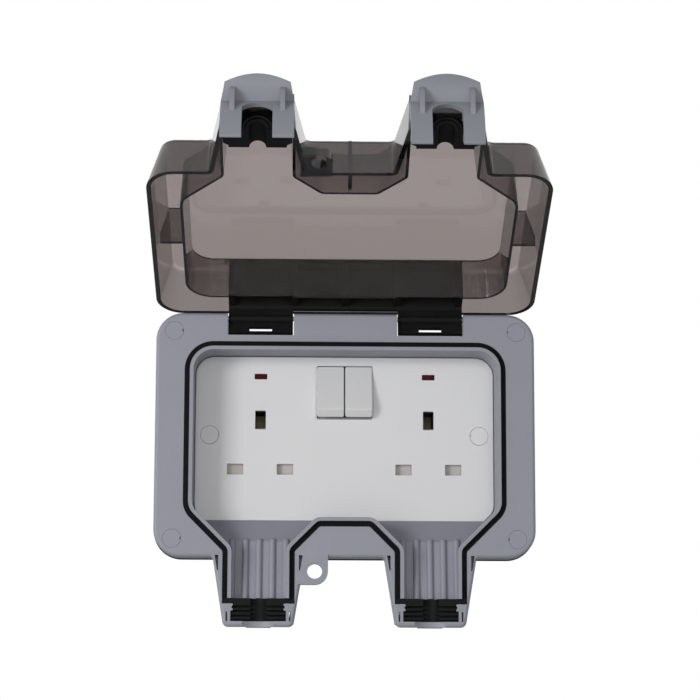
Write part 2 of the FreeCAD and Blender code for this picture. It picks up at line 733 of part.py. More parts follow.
def back_box():
    """Tapered box that screws to the wall and carries the frame and the socket."""
    mouth = box_mouth()
    foot = grow(mouth, -BOX_TAPER)
    body = tapered(mouth, BOX_START, foot, FRONT)
    cavity = tapered(grow(mouth, -BOX_WALL), BOX_START, grow(foot, -BOX_WALL), FRONT - BOX_WALL)
    flange = slab(grow(rectangle(FRAME_W, FRAME_H, 0, 0, FRAME_R), -BOX_FLANGE_INSET),
                  BOX_START, BOX_START + BOX_FLANGE)
    bosses = [rod(x, z, FRAME_BOSS_R, BOX_START, BOX_START + BOX_BOSS_LENGTH) for x, z in frame_screw_places()]
    shell = union([body, flange] + bosses).cut(cavity)
    pads = [rod(sx * WALL_HOLE_X, sz * WALL_HOLE_Z, WALL_HOLE_SINK, FRONT - BOX_WALL - WALL_HOLE_BOSS, FRONT)
            for sx in (-1, 1) for sz in (-1, 1)]
    pillars = [rod(s * PLATE_SCREW_X, PLATE_RISE, BOX_PILLAR_R, TUB_DEPTH, FRONT - BOX_WALL / 2) for s in (-1, 1)]
    shell = union([shell] + pads + pillars)
    cuts = [gap_behind_notch(x) for x in OUTLETS]
    cuts += knockouts()
    for x, z in frame_screw_places():
        cuts.append(rod(x, z, SCREW_R + PIN_CLEAR, BOX_START, BOX_START + BOX_BOSS_LENGTH - BOX_WALL))
    for side in (-1, 1):
        thread = PLATE_SCREW_R + PIN_CLEAR
        cuts.append(rod(side * PLATE_SCREW_X, PLATE_RISE, thread, TUB_DEPTH, FRONT - 3 * BOX_WALL))
        for sz in (-1, 1):
            cuts.append(rod(side * WALL_HOLE_X, sz * WALL_HOLE_Z, WALL_HOLE_R, 0, FRONT))
    return shell.cut(Part.makeCompound(cuts))


# Screws and caps

def screw(x, z, head_depth, head_r, head, shank_r, end):
    """Pan head with its cross slot, and the plain shank."""
    body = rod(x, z, head_r, head_depth, head_depth + head)
    body = body.fuse(rod(x, z, shank_r, head_depth + head, end))
    arm = head_r * 0.7
    slot = head_r * 0.12
    cross = [block(x - arm, x + arm, z - slot, z + slot, head_depth, head_depth + head / 2),
             block(x - slot, x + slot, z - arm, z + arm, head_depth, head_depth + head / 2)]
    return body.cut(Part.makeCompound(cross))


def frame_screws():
    """Four screws that pull the frame onto the box."""
    end = BOX_START + BOX_BOSS_LENGTH - 2 * BOX_WALL
    return group(screw(x, z, FRAME_HEAD_DEPTH, SCREW_HEAD_R, SCREW_HEAD, SCREW_R, end)
                 for x, z in frame_screw_places())


def cap(x, z, face, toward):
    """Round plug over a screw, with a small notch to lift it by."""
    body = rod(x, z, CAP_R, face, face + CAP_THICK)
    notch = rod(x + toward * CAP_R, z, CAP_NOTCH, face, face + CAP_THICK / 2)
    return body.cut(notch)


def frame_screw_caps():
    """Caps over the corner screws, flush with the frame."""
    return group(cap(x, z, 0, math.copysign(1, -x)) for x, z in frame_screw_places())


def plate_screws():
    """Two long screws that hold the plate to the pillars in the box."""
    head = RECESS + CAP_THICK + CAP_CLEAR
    end = FRONT - 4 * BOX_WALL
    return group(screw(s * PLATE_SCREW_X, PLATE_RISE, head, PLATE_HEAD_R, PLATE_HEAD, PLATE_SCREW_R, end)
                 for s in (-1, 1))


def plate_screw_caps():
    """Caps over the plate screws, flush with the plate."""
    return group(cap(s * PLATE_SCREW_X, PLATE_RISE, RECESS, -s) for s in (-1, 1))


# Socket plate and works

def apertures(x, near, far, extra=0.0):
    """Earth, line and neutral openings of one outlet."""
    earth_z = PLATE_RISE + EARTH_RISE
    pole_z = earth_z - PIN_SPACING
    grown = 2 * extra
    cuts = [slab(rectangle(EARTH_W + grown, EARTH_H + grown, x, earth_z), near, far)]
    for side in (-1, 1):
        pole = rectangle(POLE_W + grown, POLE_H + grown, x + side * PIN_SPACING / 2, pole_z)
        cuts.append(slab(pole, near, far))
    return cuts


def rocker_window(extra=0.0):
    """Corners of the opening that both rockers share."""
    width = 2 * ROCKER_W + ROCKER_GAP + 2 * ROCKER_MARGIN + 2 * extra
    return rectangle(width, ROCKER_H + 2 * ROCKER_MARGIN + 2 * extra, 0, PLATE_RISE + ROCKER_RISE)


def socket_plate():
    """White face plate with its folded edge and the openings for pins, rockers and lenses."""
    outline = seal_line(-LIP_IN - PLATE_CLEAR)
    keep = block(-FRAME_W, FRAME_W, PLATE_BOTTOM, TOP, RECESS, PLATE_FLOOR)
    plate = slab(outline, RECESS, PLATE_FLOOR).common(keep)
    inner = slab(grow(outline, -PLATE_WALL), RECESS + PLATE_SKIN, PLATE_FLOOR)
    room = block(-FRAME_W, FRAME_W, PLATE_BOTTOM + PLATE_WALL, TOP, RECESS, PLATE_FLOOR)
    inner = inner.common(room)
    for side in (-1, 1):
        inner = inner.cut(rod(side * PLATE_SCREW_X, PLATE_RISE, CAP_R + PLATE_WALL, RECESS, PLATE_FLOOR))
    plate = plate.cut(inner)
    cuts = [slab(rocker_window(), RECESS, PLATE_FLOOR)]
    for x in OUTLETS:
        cuts += apertures(x, RECESS, PLATE_FLOOR)
        lens = rectangle(LENS_W + 2 * CAP_CLEAR, LENS_H + 2 * CAP_CLEAR, x, PLATE_RISE + LENS_RISE)
        cuts.append(slab(lens, RECESS, PLATE_FLOOR))
    for side in (-1, 1):
        x = side * PLATE_SCREW_X
        cuts.append(rod(x, PLATE_RISE, CAP_R + CAP_CLEAR, RECESS, RECESS + CAP_THICK + CAP_CLEAR))
        cuts.append(rod(x, PLATE_RISE, PLATE_HEAD_R + CAP_CLEAR, RECESS, RECESS + CAP_THICK + CAP_CLEAR + PLATE_HEAD))
        cuts.append(rod(x, PLATE_RISE, PLATE_SCREW_R + CAP_CLEAR, RECESS, PLATE_FLOOR))
    return plate.cut(Part.makeCompound(cuts))


def rocker(side):
    """Switch rocker, low at the top and proud at the bottom, with its two stub pivots."""
    middle = PLATE_RISE + ROCKER_RISE
    top = middle + ROCKER_H / 2
    bottom = middle - ROCKER_H / 2
    profile = [
        (RECESS, top),
        (RECESS - ROCKER_PROUD, bottom + ROCKER_BEVEL),
        (RECESS - ROCKER_PROUD + ROCKER_BEVEL * 0.7, bottom),
        (RECESS, bottom + ROCKER_BEVEL / 3),
        (ROCKER_PIVOT_DEPTH, bottom + ROCKER_BEVEL),
        (ROCKER_PIVOT_DEPTH + ROCKER_BACK, middle),
        (ROCKER_PIVOT_DEPTH, top - ROCKER_BEVEL),
    ]
    near = side * ROCKER_GAP / 2
    far = side * (ROCKER_GAP / 2 + ROCKER_W)
    a, b = sorted((near, far))
    body = side_profile(profile, a, b)
    stub_a, stub_b = sorted((far, far + side * ROCKER_MARGIN * 2.5))
    return body.fuse(rod_x(ROCKER_PIVOT_DEPTH, middle, ROCKER_PIVOT_R, stub_a, stub_b))


def lens(x):
    """Red window of one indicator."""
    corners = rectangle(LENS_W, LENS_H, x, PLATE_RISE + LENS_RISE)
    return slab(corners, RECESS, RECESS + LENS_LENGTH)


def shutter_size():
    """Half width, top and bottom of the bar that closes the line and neutral openings."""
    pole_z = PLATE_RISE + EARTH_RISE - PIN_SPACING
    half = PIN_SPACING / 2 + POLE_W / 2 + SHUTTER_CLEAR
    return half, pole_z + SHUTTER_H / 2, pole_z - SHUTTER_H / 2


def shutter(x):
    """Sliding shutter: a bar over the pole openings and a stem with a ramp for the earth pin."""
    half, top, bottom = shutter_size()
    near = BODY_FRONT + SHUTTER_CLEAR
    far = near + SHUTTER_THICK
    head = PLATE_RISE + EARTH_RISE - EARTH_H / 2 + 1
    bar = block(x - half, x + half, bottom, top, near, far)
    stem = side_profile([(near, top), (far, top), (far, head), (near, head - SHUTTER_THICK)],
                        x - SHUTTER_STEM / 2, x + SHUTTER_STEM / 2)
    return bar.fuse(stem)


def shutter_spring(x):
    """Coil that lifts one shutter back over its openings."""
    half, top, bottom = shutter_size()
    middle = BODY_FRONT + SHUTTER_CLEAR + SPRING_R
    height = SPRING_LENGTH - 2 * SPRING_WIRE_R
    helix = Part.makeHelix(height / SPRING_TURNS, height, SPRING_R - SPRING_WIRE_R)
    section = Part.Wire(Part.makeCircle(SPRING_WIRE_R, Vector(SPRING_R - SPRING_WIRE_R, 0, 0), Y_AXIS))
    coil = Part.Wire(helix).makePipeShell([section], True, True)
    coil.translate(Vector(x, middle - FRONT, bottom - SPRING_LENGTH + SPRING_WIRE_R - SHUTTER_CLEAR))
    return coil


def contact(x, z, width, height):
    """Brass clip open to the front, with its terminal block behind."""
    near = BODY_FRONT + CONTACT_START
    far = near + CONTACT_LENGTH
    outer = block(x - width / 2, x + width / 2, z - height / 2, z + height / 2, near, far)
    inner_w = width / 2 - CONTACT_SHEET
    inner = block(x - inner_w, x + inner_w, z - height / 2, z + height / 2, near, far - CONTACT_SHEET)
    end = BODY_BACK + TERMINAL_BLOCK
    post = block(x - TERMINAL / 2, x + TERMINAL / 2, z - height / 2, z + height / 2, far - CONTACT_SHEET, end)
    hole = rod(x, z, TERMINAL_SCREW_R, BODY_BACK, end)
    return outer.cut(inner).fuse(post).cut(hole)


def contact_places(x):
    """Middle, width and height of the earth clip and of the two pole clips."""
    earth_z = PLATE_RISE + EARTH_RISE
    pole_z = earth_z - PIN_SPACING
    earth = (x, earth_z, EARTH_W + 2 * CONTACT_SHEET, EARTH_H + CONTACT_SHEET)
    line = (x + PIN_SPACING / 2, pole_z, POLE_W + 2 * CONTACT_SHEET, POLE_H + CONTACT_SHEET)
    neutral = (x - PIN_SPACING / 2, pole_z, POLE_W + 2 * CONTACT_SHEET, POLE_H + CONTACT_SHEET)
    return earth, line, neutral


def earth_strap():
    """Both earth clips and the strap that joins them behind the body."""
    clips = [contact(*contact_places(x)[0]) for x in OUTLETS]
    z = PLATE_RISE + EARTH_RISE
    x0, x1 = OUTLETS[0] + TERMINAL / 2, OUTLETS[1] - TERMINAL / 2
    strap = block(x0, x1, z - EARTH_STRAP / 2, z + EARTH_STRAP / 2, BODY_BACK, BODY_BACK + CONTACT_SHEET)
    return union(clips + [strap])


def terminal_screws():
    """Screws that clamp the conductors in the terminal blocks."""
    screws = []
    for outlet in OUTLETS:
        for x, z, width, height in contact_places(outlet):
            end = BODY_BACK + TERMINAL_BLOCK
            body = rod(x, z, TERMINAL_SCREW_R, BODY_BACK + CONTACT_SHEET, end + TERMINAL_SCREW_PROUD)
            arm = TERMINAL_SCREW_R
            slot = block(x - arm, x + arm, z - arm / 6, z + arm / 6, end + TERMINAL_SCREW_PROUD / 2,
                         end + TERMINAL_SCREW_PROUD)
            screws.append(body.cut(slot))
    return group(screws)


def socket_body():
    """Rear moulding with wells for the clips, tracks for the shutters and room for the rockers."""
    body = slab(rectangle(BODY_W, BODY_H, 0, PLATE_RISE, BODY_R), BODY_FRONT, BODY_BACK)
    middle = PLATE_RISE + ROCKER_RISE
    cuts = [slab(rocker_window(), BODY_FRONT, ROCKER_PIVOT_DEPTH + 3 * ROCKER_BACK)]
    reach = ROCKER_W + ROCKER_GAP / 2 + 3 * ROCKER_MARGIN
    cuts.append(rod_x(ROCKER_PIVOT_DEPTH, middle, ROCKER_PIVOT_R + PIN_CLEAR, -reach, reach))
    for side in (-1, 1):
        boss = CAP_R + PLATE_WALL + PLATE_CLEAR
        cuts.append(rod(side * PLATE_SCREW_X, PLATE_RISE, boss, BODY_FRONT, PLATE_FLOOR + PLATE_CLEAR))
        cuts.append(rod(side * PLATE_SCREW_X, PLATE_RISE, BOX_PILLAR_R + PLATE_CLEAR, BODY_FRONT, BODY_BACK))
    half, top, bottom = shutter_size()
    track = BODY_FRONT + SHUTTER_CLEAR + SHUTTER_THICK + SHUTTER_CLEAR
    head = PLATE_RISE + EARTH_RISE + EARTH_H / 2
    for x in OUTLETS:
        low = bottom - SHUTTER_TRAVEL - SHUTTER_CLEAR
        cuts.append(block(x - half - SHUTTER_CLEAR, x + half + SHUTTER_CLEAR, low, top + SHUTTER_CLEAR, BODY_FRONT, track))
        stem = SHUTTER_STEM / 2 + SHUTTER_CLEAR
        cuts.append(block(x - stem, x + stem, top, head, BODY_FRONT, track))
        coil = SPRING_R + SHUTTER_CLEAR
        spring_low = bottom - SPRING_LENGTH - 2 * SHUTTER_CLEAR
        spring_far = BODY_FRONT + 2 * (SHUTTER_CLEAR + SPRING_R)
        cuts.append(block(x - coil, x + coil, spring_low, bottom, BODY_FRONT, spring_far))
        cuts += apertures(x, BODY_FRONT, BODY_FRONT + CONTACT_START)
        for cx, cz, width, height in contact_places(x):
            w = max(width, TERMINAL) / 2 + CONTACT_CLEAR
            h = height / 2 + CONTACT_CLEAR
            cuts.append(block(cx - w, cx + w, cz - h, cz + h, BODY_FRONT + CONTACT_START, BODY_BACK))
        lens_hole = rectangle(LENS_W + 2 * CAP_CLEAR, LENS_H + 2 * CAP_CLEAR, x, PLATE_RISE + LENS_RISE)
        cuts.append(slab(lens_hole, BODY_FRONT, RECESS + LENS_LENGTH + CAP_CLEAR))
    return body.cut(Part.makeCompound(cuts))


# Cover and latches

def opened(shape):
    """Turn a piece of the closed cover to the open angle."""
    shape.rotate(HINGE, X_AXIS, -OPEN_ANGLE)
    return shape


def cover_shell():
    """Smoked moulding with drafted walls and a rounded face."""
    face = RIM - COVER_DEPTH
    body = tapered(plan(), RIM, plan(COVER_DRAFT, SNOUT_DRAFT, SNOUT_END_DRAFT), face)
    face_edges = [e for e in body.Edges if abs(e.BoundBox.YMax - (face - FRONT)) < 0.01]
    body = body.makeFillet(COVER_ROUND, face_edges)
    share = (COVER_DEPTH - COVER_WALL) / COVER_DEPTH
    inner_face = plan(COVER_DRAFT * share, SNOUT_DRAFT * share, SNOUT_END_DRAFT * share)
    cavity = tapered(grow(plan(), -COVER_WALL), RIM, grow(inner_face, -COVER_WALL), face + COVER_WALL)
    return body.cut(cavity)


def skirt():
    """Inner wall that presses on the gasket."""
    root = RIM - COVER_DEPTH + COVER_WALL / 2
    outer = tapered(seal_line(SKIRT_HALF), RIM, seal_line(SKIRT_HALF + SKIRT_ROOT - SKIRT_LEAN), root)
    inner = tapered(seal_line(-SKIRT_HALF), RIM, seal_line(-SKIRT_HALF - SKIRT_LEAN), root)
    keep = block(-FRAME_W, FRAME_W, SKIRT_END, TOP, root, RIM)
    return outer.cut(inner).common(keep)


def cover_ribs():
    """Ribs from the skirt to the outer wall at the hinge side, the ends and the latch side."""
    near = RIM - COVER_DEPTH + COVER_WALL / 2
    far = RIM - RIB_SETBACK
    wall_lean = COVER_WALL + RIB_SETBACK
    ribs = []
    hinge_ribs = [x + side * (NOTCH_W + RIB) / 2 for x in OUTLETS for side in (-1, 1)]
    for x in hinge_ribs + [0]:
        ribs.append(block(x - RIB / 2, x + RIB / 2, SEAL_TOP, TOP - wall_lean, near, far))
    ribs.append(block(-RIB / 2, RIB / 2, -TOP + wall_lean, SEAL_BOTTOM, near, far))
    for side in (-1, 1):
        a, b = sorted((side * SEAL_HALF_W, side * (FRAME_W / 2 - wall_lean)))
        ribs.append(block(a, b, -RIB / 2, RIB / 2, near, far))
    envelope = tapered(plan(), RIM, plan(COVER_DRAFT, SNOUT_DRAFT, SNOUT_END_DRAFT), RIM - COVER_DEPTH)
    envelope = envelope.cut(tapered(seal_line(), RIM, seal_line(-SKIRT_LEAN), RIM - COVER_DEPTH))
    return [rib.common(envelope) for rib in ribs]


def hinge_tongue(x):
    """Knuckle on the pin and the slotted tongue that lies in one notch of the frame."""
    half = NOTCH_W / 2 - TONGUE_CLEAR
    top = TOP
    tip = PIN_DEPTH + TONGUE_REACH
    strap = block(x - half, x + half, top - TONGUE_THICK, top, RIM - COVER_WALL, tip)
    knuckle = rod_x(PIN_DEPTH, TOP - PIN_DROP, KNUCKLE_R, x - half, x + half)
    slot_at = PIN_DEPTH + TONGUE_SLOT_AT
    slot = block(x - TONGUE_SLOT_W / 2, x + TONGUE_SLOT_W / 2, top - TONGUE_THICK, top, slot_at, slot_at + TONGUE_SLOT)
    return strap.fuse(knuckle).cut(slot)


def latch_pivot():
    """Depth and height of the latch pivots with the cover closed."""
    return RIM - LATCH_PIVOT_DEPTH, SNOUT_END - LATCH_PIVOT_OUT


def hook_depth():
    """Depth of the point of the hooks with the cover latched."""
    rise = SNOUT_END + HOOK - (SNOUT_END - LATCH_GAP - LATCH_THICK + LATCH_NOSE)
    return RIM - LATCH_PIVOT_DEPTH + LATCH_REACH - HOOK_SLOPE * rise


def leg_middle(x, side):
    """Middle of one leg of a latch."""
    return x + side * (LATCH_LEG_IN + LATCH_HALF) / 2


def latch_ears(x):
    """Two ears on the end of a snout that stand in the slotted barrels of a latch."""
    depth, z = latch_pivot()
    ears = []
    for side in (-1, 1):
        a = leg_middle(x, side) - EAR / 2
        ears.append(rod_x(depth, z, EAR_R, a, a + EAR))
        ears.append(block(a, a + EAR, z, SNOUT_END + COVER_WALL, depth - EAR_R, depth + EAR_R))
    return ears


def cover():
    """Smoked cover with its skirt, ribs, hinge tongues, padlock eye and open snout ends."""
    depth, z = latch_pivot()
    pieces = [cover_shell(), skirt(), eye(RIM - EYE_COVER_DEPTH, RIM)]
    pieces += cover_ribs()
    pieces += [hinge_tongue(x) for x in OUTLETS]
    whole = union(pieces)
    room = [rod(EYE_X, EYE_Z, EYE_HOLE_R, RIM - EYE_COVER_DEPTH, RIM)]
    holes = []
    for x in OUTLETS:
        room.append(Part.makeCylinder(MOUTH_R, 3 * COVER_WALL, Vector(x, RIM - FRONT, SNOUT_END - 1)))
        room.append(rod_x(depth, z, BARREL_R + EAR_CLEAR, x - SNOUT_HALF_ROOT, x + SNOUT_HALF_ROOT))
        half = NOTCH_W / 2
        holes.append(rod_x(PIN_DEPTH, TOP - PIN_DROP, PIN_R + PIN_CLEAR, x - half, x + half))
        holes.append(rod_x(depth, z, LATCH_PIN_R + PIN_CLEAR, x - LATCH_HALF, x + LATCH_HALF))
    whole = whole.cut(Part.makeCompound(room))
    whole = union([whole] + [ear for x in OUTLETS for ear in latch_ears(x)])
    return opened(whole.cut(Part.makeCompound(holes)))


def latch_section(x0, x1):
    """Side profile of a latch: hooked leg, bowed back and leaning finger tab."""
    depth, z = latch_pivot()
    near_z = SNOUT_END - LATCH_GAP
    far_z = near_z - LATCH_THICK
    tip = depth + LATCH_REACH
    crease = depth - LATCH_CREASE
    lean = math.radians(TAB_LEAN)

    def at(d, height):
        return Vector(x0, d - FRONT, height)

    def up_tab(length, thick):
        return at(crease - length * math.cos(lean) - thick * math.sin(lean),
                  far_z - length * math.sin(lean) + thick * math.cos(lean))

    middle = (tip + crease) / 2
    end = TAB_LENGTH + TAB_THICK
    inner_crease = at(crease - TAB_THICK / 2, near_z)
    inner_tip = at(tip - HOOK_SLOPE * (LATCH_THICK - LATCH_NOSE), near_z)
    rounding = LATCH_NOSE * (1 - math.sqrt(0.5))
    outer_tip = at(tip - LATCH_NOSE, far_z)
    edges = [
        Part.makeLine(inner_tip, at(tip, far_z + LATCH_NOSE)),
        Part.Arc(at(tip, far_z + LATCH_NOSE), at(tip - rounding, far_z + rounding), outer_tip).toShape(),
        Part.Arc(outer_tip, at(middle, far_z - LATCH_BULGE), at(crease, far_z)).toShape(),
        Part.Arc(at(crease, far_z), up_tab(end / 2, TAB_SCOOP), up_tab(end, 0)).toShape(),
        Part.makeLine(up_tab(end, 0), up_tab(end, TAB_THICK)),
        Part.Arc(up_tab(end, TAB_THICK), up_tab(end / 2, TAB_THICK + TAB_SCOOP), inner_crease).toShape(),
        Part.Arc(inner_crease, at(middle, near_z - LATCH_BULGE), inner_tip).toShape(),
    ]
    return Part.Face(Part.Wire(edges)).extrude(Vector(x1 - x0, 0, 0))


def latch_front(x):
    """Outline of a latch seen along the snout: straight sides, leaning shoulders, arched top."""
    depth, z = latch_pivot()
    low = depth + LATCH_REACH
    waist = depth - LATCH_CREASE
    crown = waist - TAB_LENGTH * math.cos(math.radians(TAB_LEAN))
    shoulder = crown + TAB_CROWN
    base = SNOUT_END - 2 * TAB_LENGTH

    def at(dx, d):
        return Vector(x + dx, d - FRONT, base)

    points = [at(-TAB_SHOULDER_HALF, shoulder), at(-LATCH_HALF, waist), at(-LATCH_HALF, low),
              at(LATCH_HALF, low), at(LATCH_HALF, waist), at(TAB_SHOULDER_HALF, shoulder)]
    edges = [Part.makeLine(a, b) for a, b in zip(points, points[1:])]
    edges.append(Part.Arc(points[-1], at(0, crown), points[0]).toShape())
    return Part.Face(Part.Wire(edges)).extrude(Vector(0, 0, 3 * TAB_LENGTH))


def gusset(x0, crease, far_z, low):
    """Rounded fin between the back and the tab of a latch."""
    lean = math.radians(TAB_LEAN)
    top = (crease - GUSSET_UP * math.cos(lean), far_z - GUSSET_UP * math.sin(lean) + TAB_SCOOP)
    foot = (low, far_z - LATCH_BULGE / 2)
    bow = ((top[0] + foot[0]) / 2, (top[1] + foot[1]) / 2 - GUSSET)

    def at(point):
        return Vector(x0, point[0] - FRONT, point[1])

    inside = (crease, far_z + 1)
    edges = [Part.Arc(at(top), at(bow), at(foot)).toShape(), Part.makeLine(at(foot), at(inside)),
             Part.makeLine(at(inside), at(top))]
    return Part.Face(Part.Wire(edges)).extrude(Vector(GUSSET, 0, 0))


def latch_leg(x, side):
    """Gusset, pivot barrel and hook on one leg of a latch."""
    depth, z = latch_pivot()
    near_z = SNOUT_END - LATCH_GAP
    far_z = near_z - LATCH_THICK
    crease = depth - LATCH_CREASE
    point = hook_depth()
    behind = point + HOOK_SLOPE * (SNOUT_END + HOOK - near_z + LATCH_THICK / 2)
    gx = x + side * GUSSET_X
    a, b = sorted((x + side * LATCH_LEG_IN, x + side * LATCH_HALF))
    return [
        gusset(gx - GUSSET / 2, crease, far_z, depth + GUSSET_DOWN),
        rod_x(depth, z, BARREL_R, a, b),
        block(a, b, near_z - LATCH_THICK / 2, z, depth - BARREL_R, depth + BARREL_R),
        side_profile([(point - HOOK_HEIGHT, SNOUT_END + HOOK), (point, SNOUT_END + HOOK),
                      (behind, near_z - LATCH_THICK / 2), (point - HOOK_HEIGHT, near_z - LATCH_THICK / 2)], a, b),
    ]


def latch(x, lift):
    """Latch with two hooked legs, a finger tab between gussets, and slotted pivot barrels."""
    depth, z = latch_pivot()
    tip = depth + LATCH_REACH
    far = SNOUT_END + TAB_LENGTH
    near = SNOUT_END - TAB_LENGTH
    pieces = [latch_section(x - LATCH_HALF, x + LATCH_HALF)]
    cuts = []
    for side in (-1, 1):
        pieces += latch_leg(x, side)
        a = leg_middle(x, side) - EAR / 2 - EAR_CLEAR
        gap = EAR_R + EAR_CLEAR
        cuts.append(rod_x(depth, z, gap, a, a + EAR + 2 * EAR_CLEAR))
        cuts.append(block(a, a + EAR + 2 * EAR_CLEAR, z, far, depth - gap, depth + gap))
    whole = union(pieces).common(latch_front(x))
    top_r = (LATCH_LEG_IN ** 2 + ARCH_RISE ** 2) / (2 * ARCH_RISE)
    arch = Part.makeCylinder(top_r, far - near, Vector(x, depth - ARCH_RISE + top_r - FRONT, near))
    notch = block(x - LATCH_LEG_IN, x + LATCH_LEG_IN, near, far, depth - ARCH_RISE, tip + 1)
    notch = notch.cut(block(x - LATCH_LEG_IN, x + LATCH_LEG_IN, near, far, depth - ARCH_RISE, depth).cut(arch))
    cuts.append(notch)
    cuts.append(rod_x(depth, z, LATCH_PIN_R, x - LATCH_HALF + LATCH_PIN_END, x + LATCH_HALF - LATCH_PIN_END))
    whole = whole.cut(Part.makeCompound(cuts))
    return tilted(whole, lift)


def tilted(shape, lift):
    """Turn a piece of a latch to its unlatched angle, and then with the cover."""
    depth, z = latch_pivot()
    shape.rotate(Vector(0, depth - FRONT, z), X_AXIS, -lift)
    return opened(shape)


def latch_pins(x, lift):
    """Two short pins that carry the legs of a latch on the cover's ears."""
    depth, z = latch_pivot()
    pins = []
    for side in (-1, 1):
        a, b = sorted((x + side * LATCH_LEG_IN, x + side * (LATCH_HALF - LATCH_PIN_END)))
        pins.append(rod_x(depth, z, LATCH_PIN_R, a, b))
    return tilted(group(pins), lift)


def hinge_pin(x):
    """Steel pin held in the cheeks of one notch."""
    half = NOTCH_W / 2 + NOTCH_CHEEK
    return rod_x(PIN_DEPTH, TOP - PIN_DROP, PIN_R, x - half, x + half)


def both(name, maker, *args):
    """Left and right copies of a piece, by node name."""
    return {f"{name}_left": maker(OUTLETS[0], *args), f"{name}_right": maker(OUTLETS[1], *args)}


NODES = {
    "back_box": back_box(),
    "box_gasket": box_gasket(),
    "front_frame": front_frame(),
    "cover_gasket": cover_gasket(),
    "frame_screws": frame_screws(),
    "frame_screw_caps": frame_screw_caps(),
    "plate_screws": plate_screws(),
    "plate_screw_caps": plate_screw_caps(),
    "socket_plate": socket_plate(),
    "socket_body": socket_body(),
    "rocker_left": rocker(-1),
    "rocker_right": rocker(1),
    "earth_strap": earth_strap(),
    "terminal_screws": terminal_screws(),
    "cover": cover(),
    "latch_left": latch(OUTLETS[0], LATCH_LIFT_LEFT),
    "latch_right": latch(OUTLETS[1], LATCH_LIFT_RIGHT),
    "latch_pins_left": latch_pins(OUTLETS[0], LATCH_LIFT_LEFT),
    "latch_pins_right": latch_pins(OUTLETS[1], LATCH_LIFT_RIGHT),
}
NODES.update(both("neon_lens", lens))
NODES.update(both("shutter", shutter))
NODES.update(both("shutter_spring", shutter_spring))
NODES.update(both("hinge_pin", hinge_pin))
NODES.update(both("lower_seal", lower_seal))
for label, place in zip(("left", "right"), OUTLETS):
    NODES[f"upper_seal_{label}"] = opened(upper_seal(place))
    earth, line, neutral = contact_places(place)
    NODES[f"line_contact_{label}"] = contact(*line)
    NODES[f"neutral_contact_{label}"] = contact(*neutral)

for node, shape in NODES.items():
    print(f"{node:24s} solids {len(shape.Solids)}  valid {shape.isValid()}  volume {shape.Volume:9.1f}")
    shape.exportStep(f"parts/{node}.step")
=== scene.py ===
"""Blender scene of an outdoor weatherproof double switched socket with its smoked cover open."""
import json
import logging
import math
from dataclasses import dataclass
from enum import Enum
from typing import Any, Optional, Sequence, Union

import bpy
from mathutils import Matrix, Vector


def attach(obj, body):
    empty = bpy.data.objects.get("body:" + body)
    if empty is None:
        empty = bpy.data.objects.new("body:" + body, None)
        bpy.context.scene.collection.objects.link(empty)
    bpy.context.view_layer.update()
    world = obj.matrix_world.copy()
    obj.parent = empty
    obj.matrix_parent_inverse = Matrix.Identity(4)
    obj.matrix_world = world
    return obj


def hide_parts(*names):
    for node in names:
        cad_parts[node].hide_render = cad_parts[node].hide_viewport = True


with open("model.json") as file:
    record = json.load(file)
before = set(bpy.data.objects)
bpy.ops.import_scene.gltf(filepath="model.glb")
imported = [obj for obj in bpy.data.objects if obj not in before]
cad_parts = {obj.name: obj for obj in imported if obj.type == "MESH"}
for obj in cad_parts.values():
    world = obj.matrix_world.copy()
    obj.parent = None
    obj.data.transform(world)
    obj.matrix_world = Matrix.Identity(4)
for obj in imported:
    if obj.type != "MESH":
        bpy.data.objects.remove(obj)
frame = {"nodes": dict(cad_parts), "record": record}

log = logging.getLogger("socket")
MM = 0.001
Triple = tuple[float, float, float]
Colour = Triple

# X of both outlets in millimetres, the line of the cover's pins in metres, and how far the cover stands open
OUTLETS = (-37.6, 37.6)
HINGE = Vector((0.0, -48.5, 52.0)) * MM
OPEN_ANGLE = math.radians(112.0)

# Mesh tolerances: corners this close are one corner, and faces bent less than this are one flat face
SAME_PLACE = 0.02 * MM
MERGE_DISTANCE = 0.002 * MM
FLAT_ANGLE = math.radians(0.8)
SHARP_DEGREES = 32.0


# Shader graph

class Channel:
    """One socket of a shader graph that can be used in Python expressions."""

    def __init__(self, graph: "Graph", socket: Any) -> None:
        """Wrap a socket.

        Args:
            graph: The graph that the socket belongs to.
            socket: The output socket.
        """
        self.graph = graph
        self.socket = socket

    def _maths(self, operation: str, first: Any, second: Any) -> "Channel":
        """Add one Math node.

        Args:
            operation: The node's operation.
            first: First value or channel.
            second: Second value or channel.

        Returns:
            The node's result.
        """
        return self.graph.node("ShaderNodeMath", {"operation": operation}, {0: first, 1: second})

    def __add__(self, other: Any) -> "Channel":
        """Sum of two channels."""
        return self._maths("ADD", self, other)

    def __sub__(self, other: Any) -> "Channel":
        """Difference of two channels."""
        return self._maths("SUBTRACT", self, other)

    def __rsub__(self, other: Any) -> "Channel":
        """A value less this channel."""
        return self._maths("SUBTRACT", other, self)

    def __mul__(self, other: Any) -> "Channel":
        """Product of two channels."""
        return self._maths("MULTIPLY", self, other)

    __radd__ = __add__
    __rmul__ = __mul__


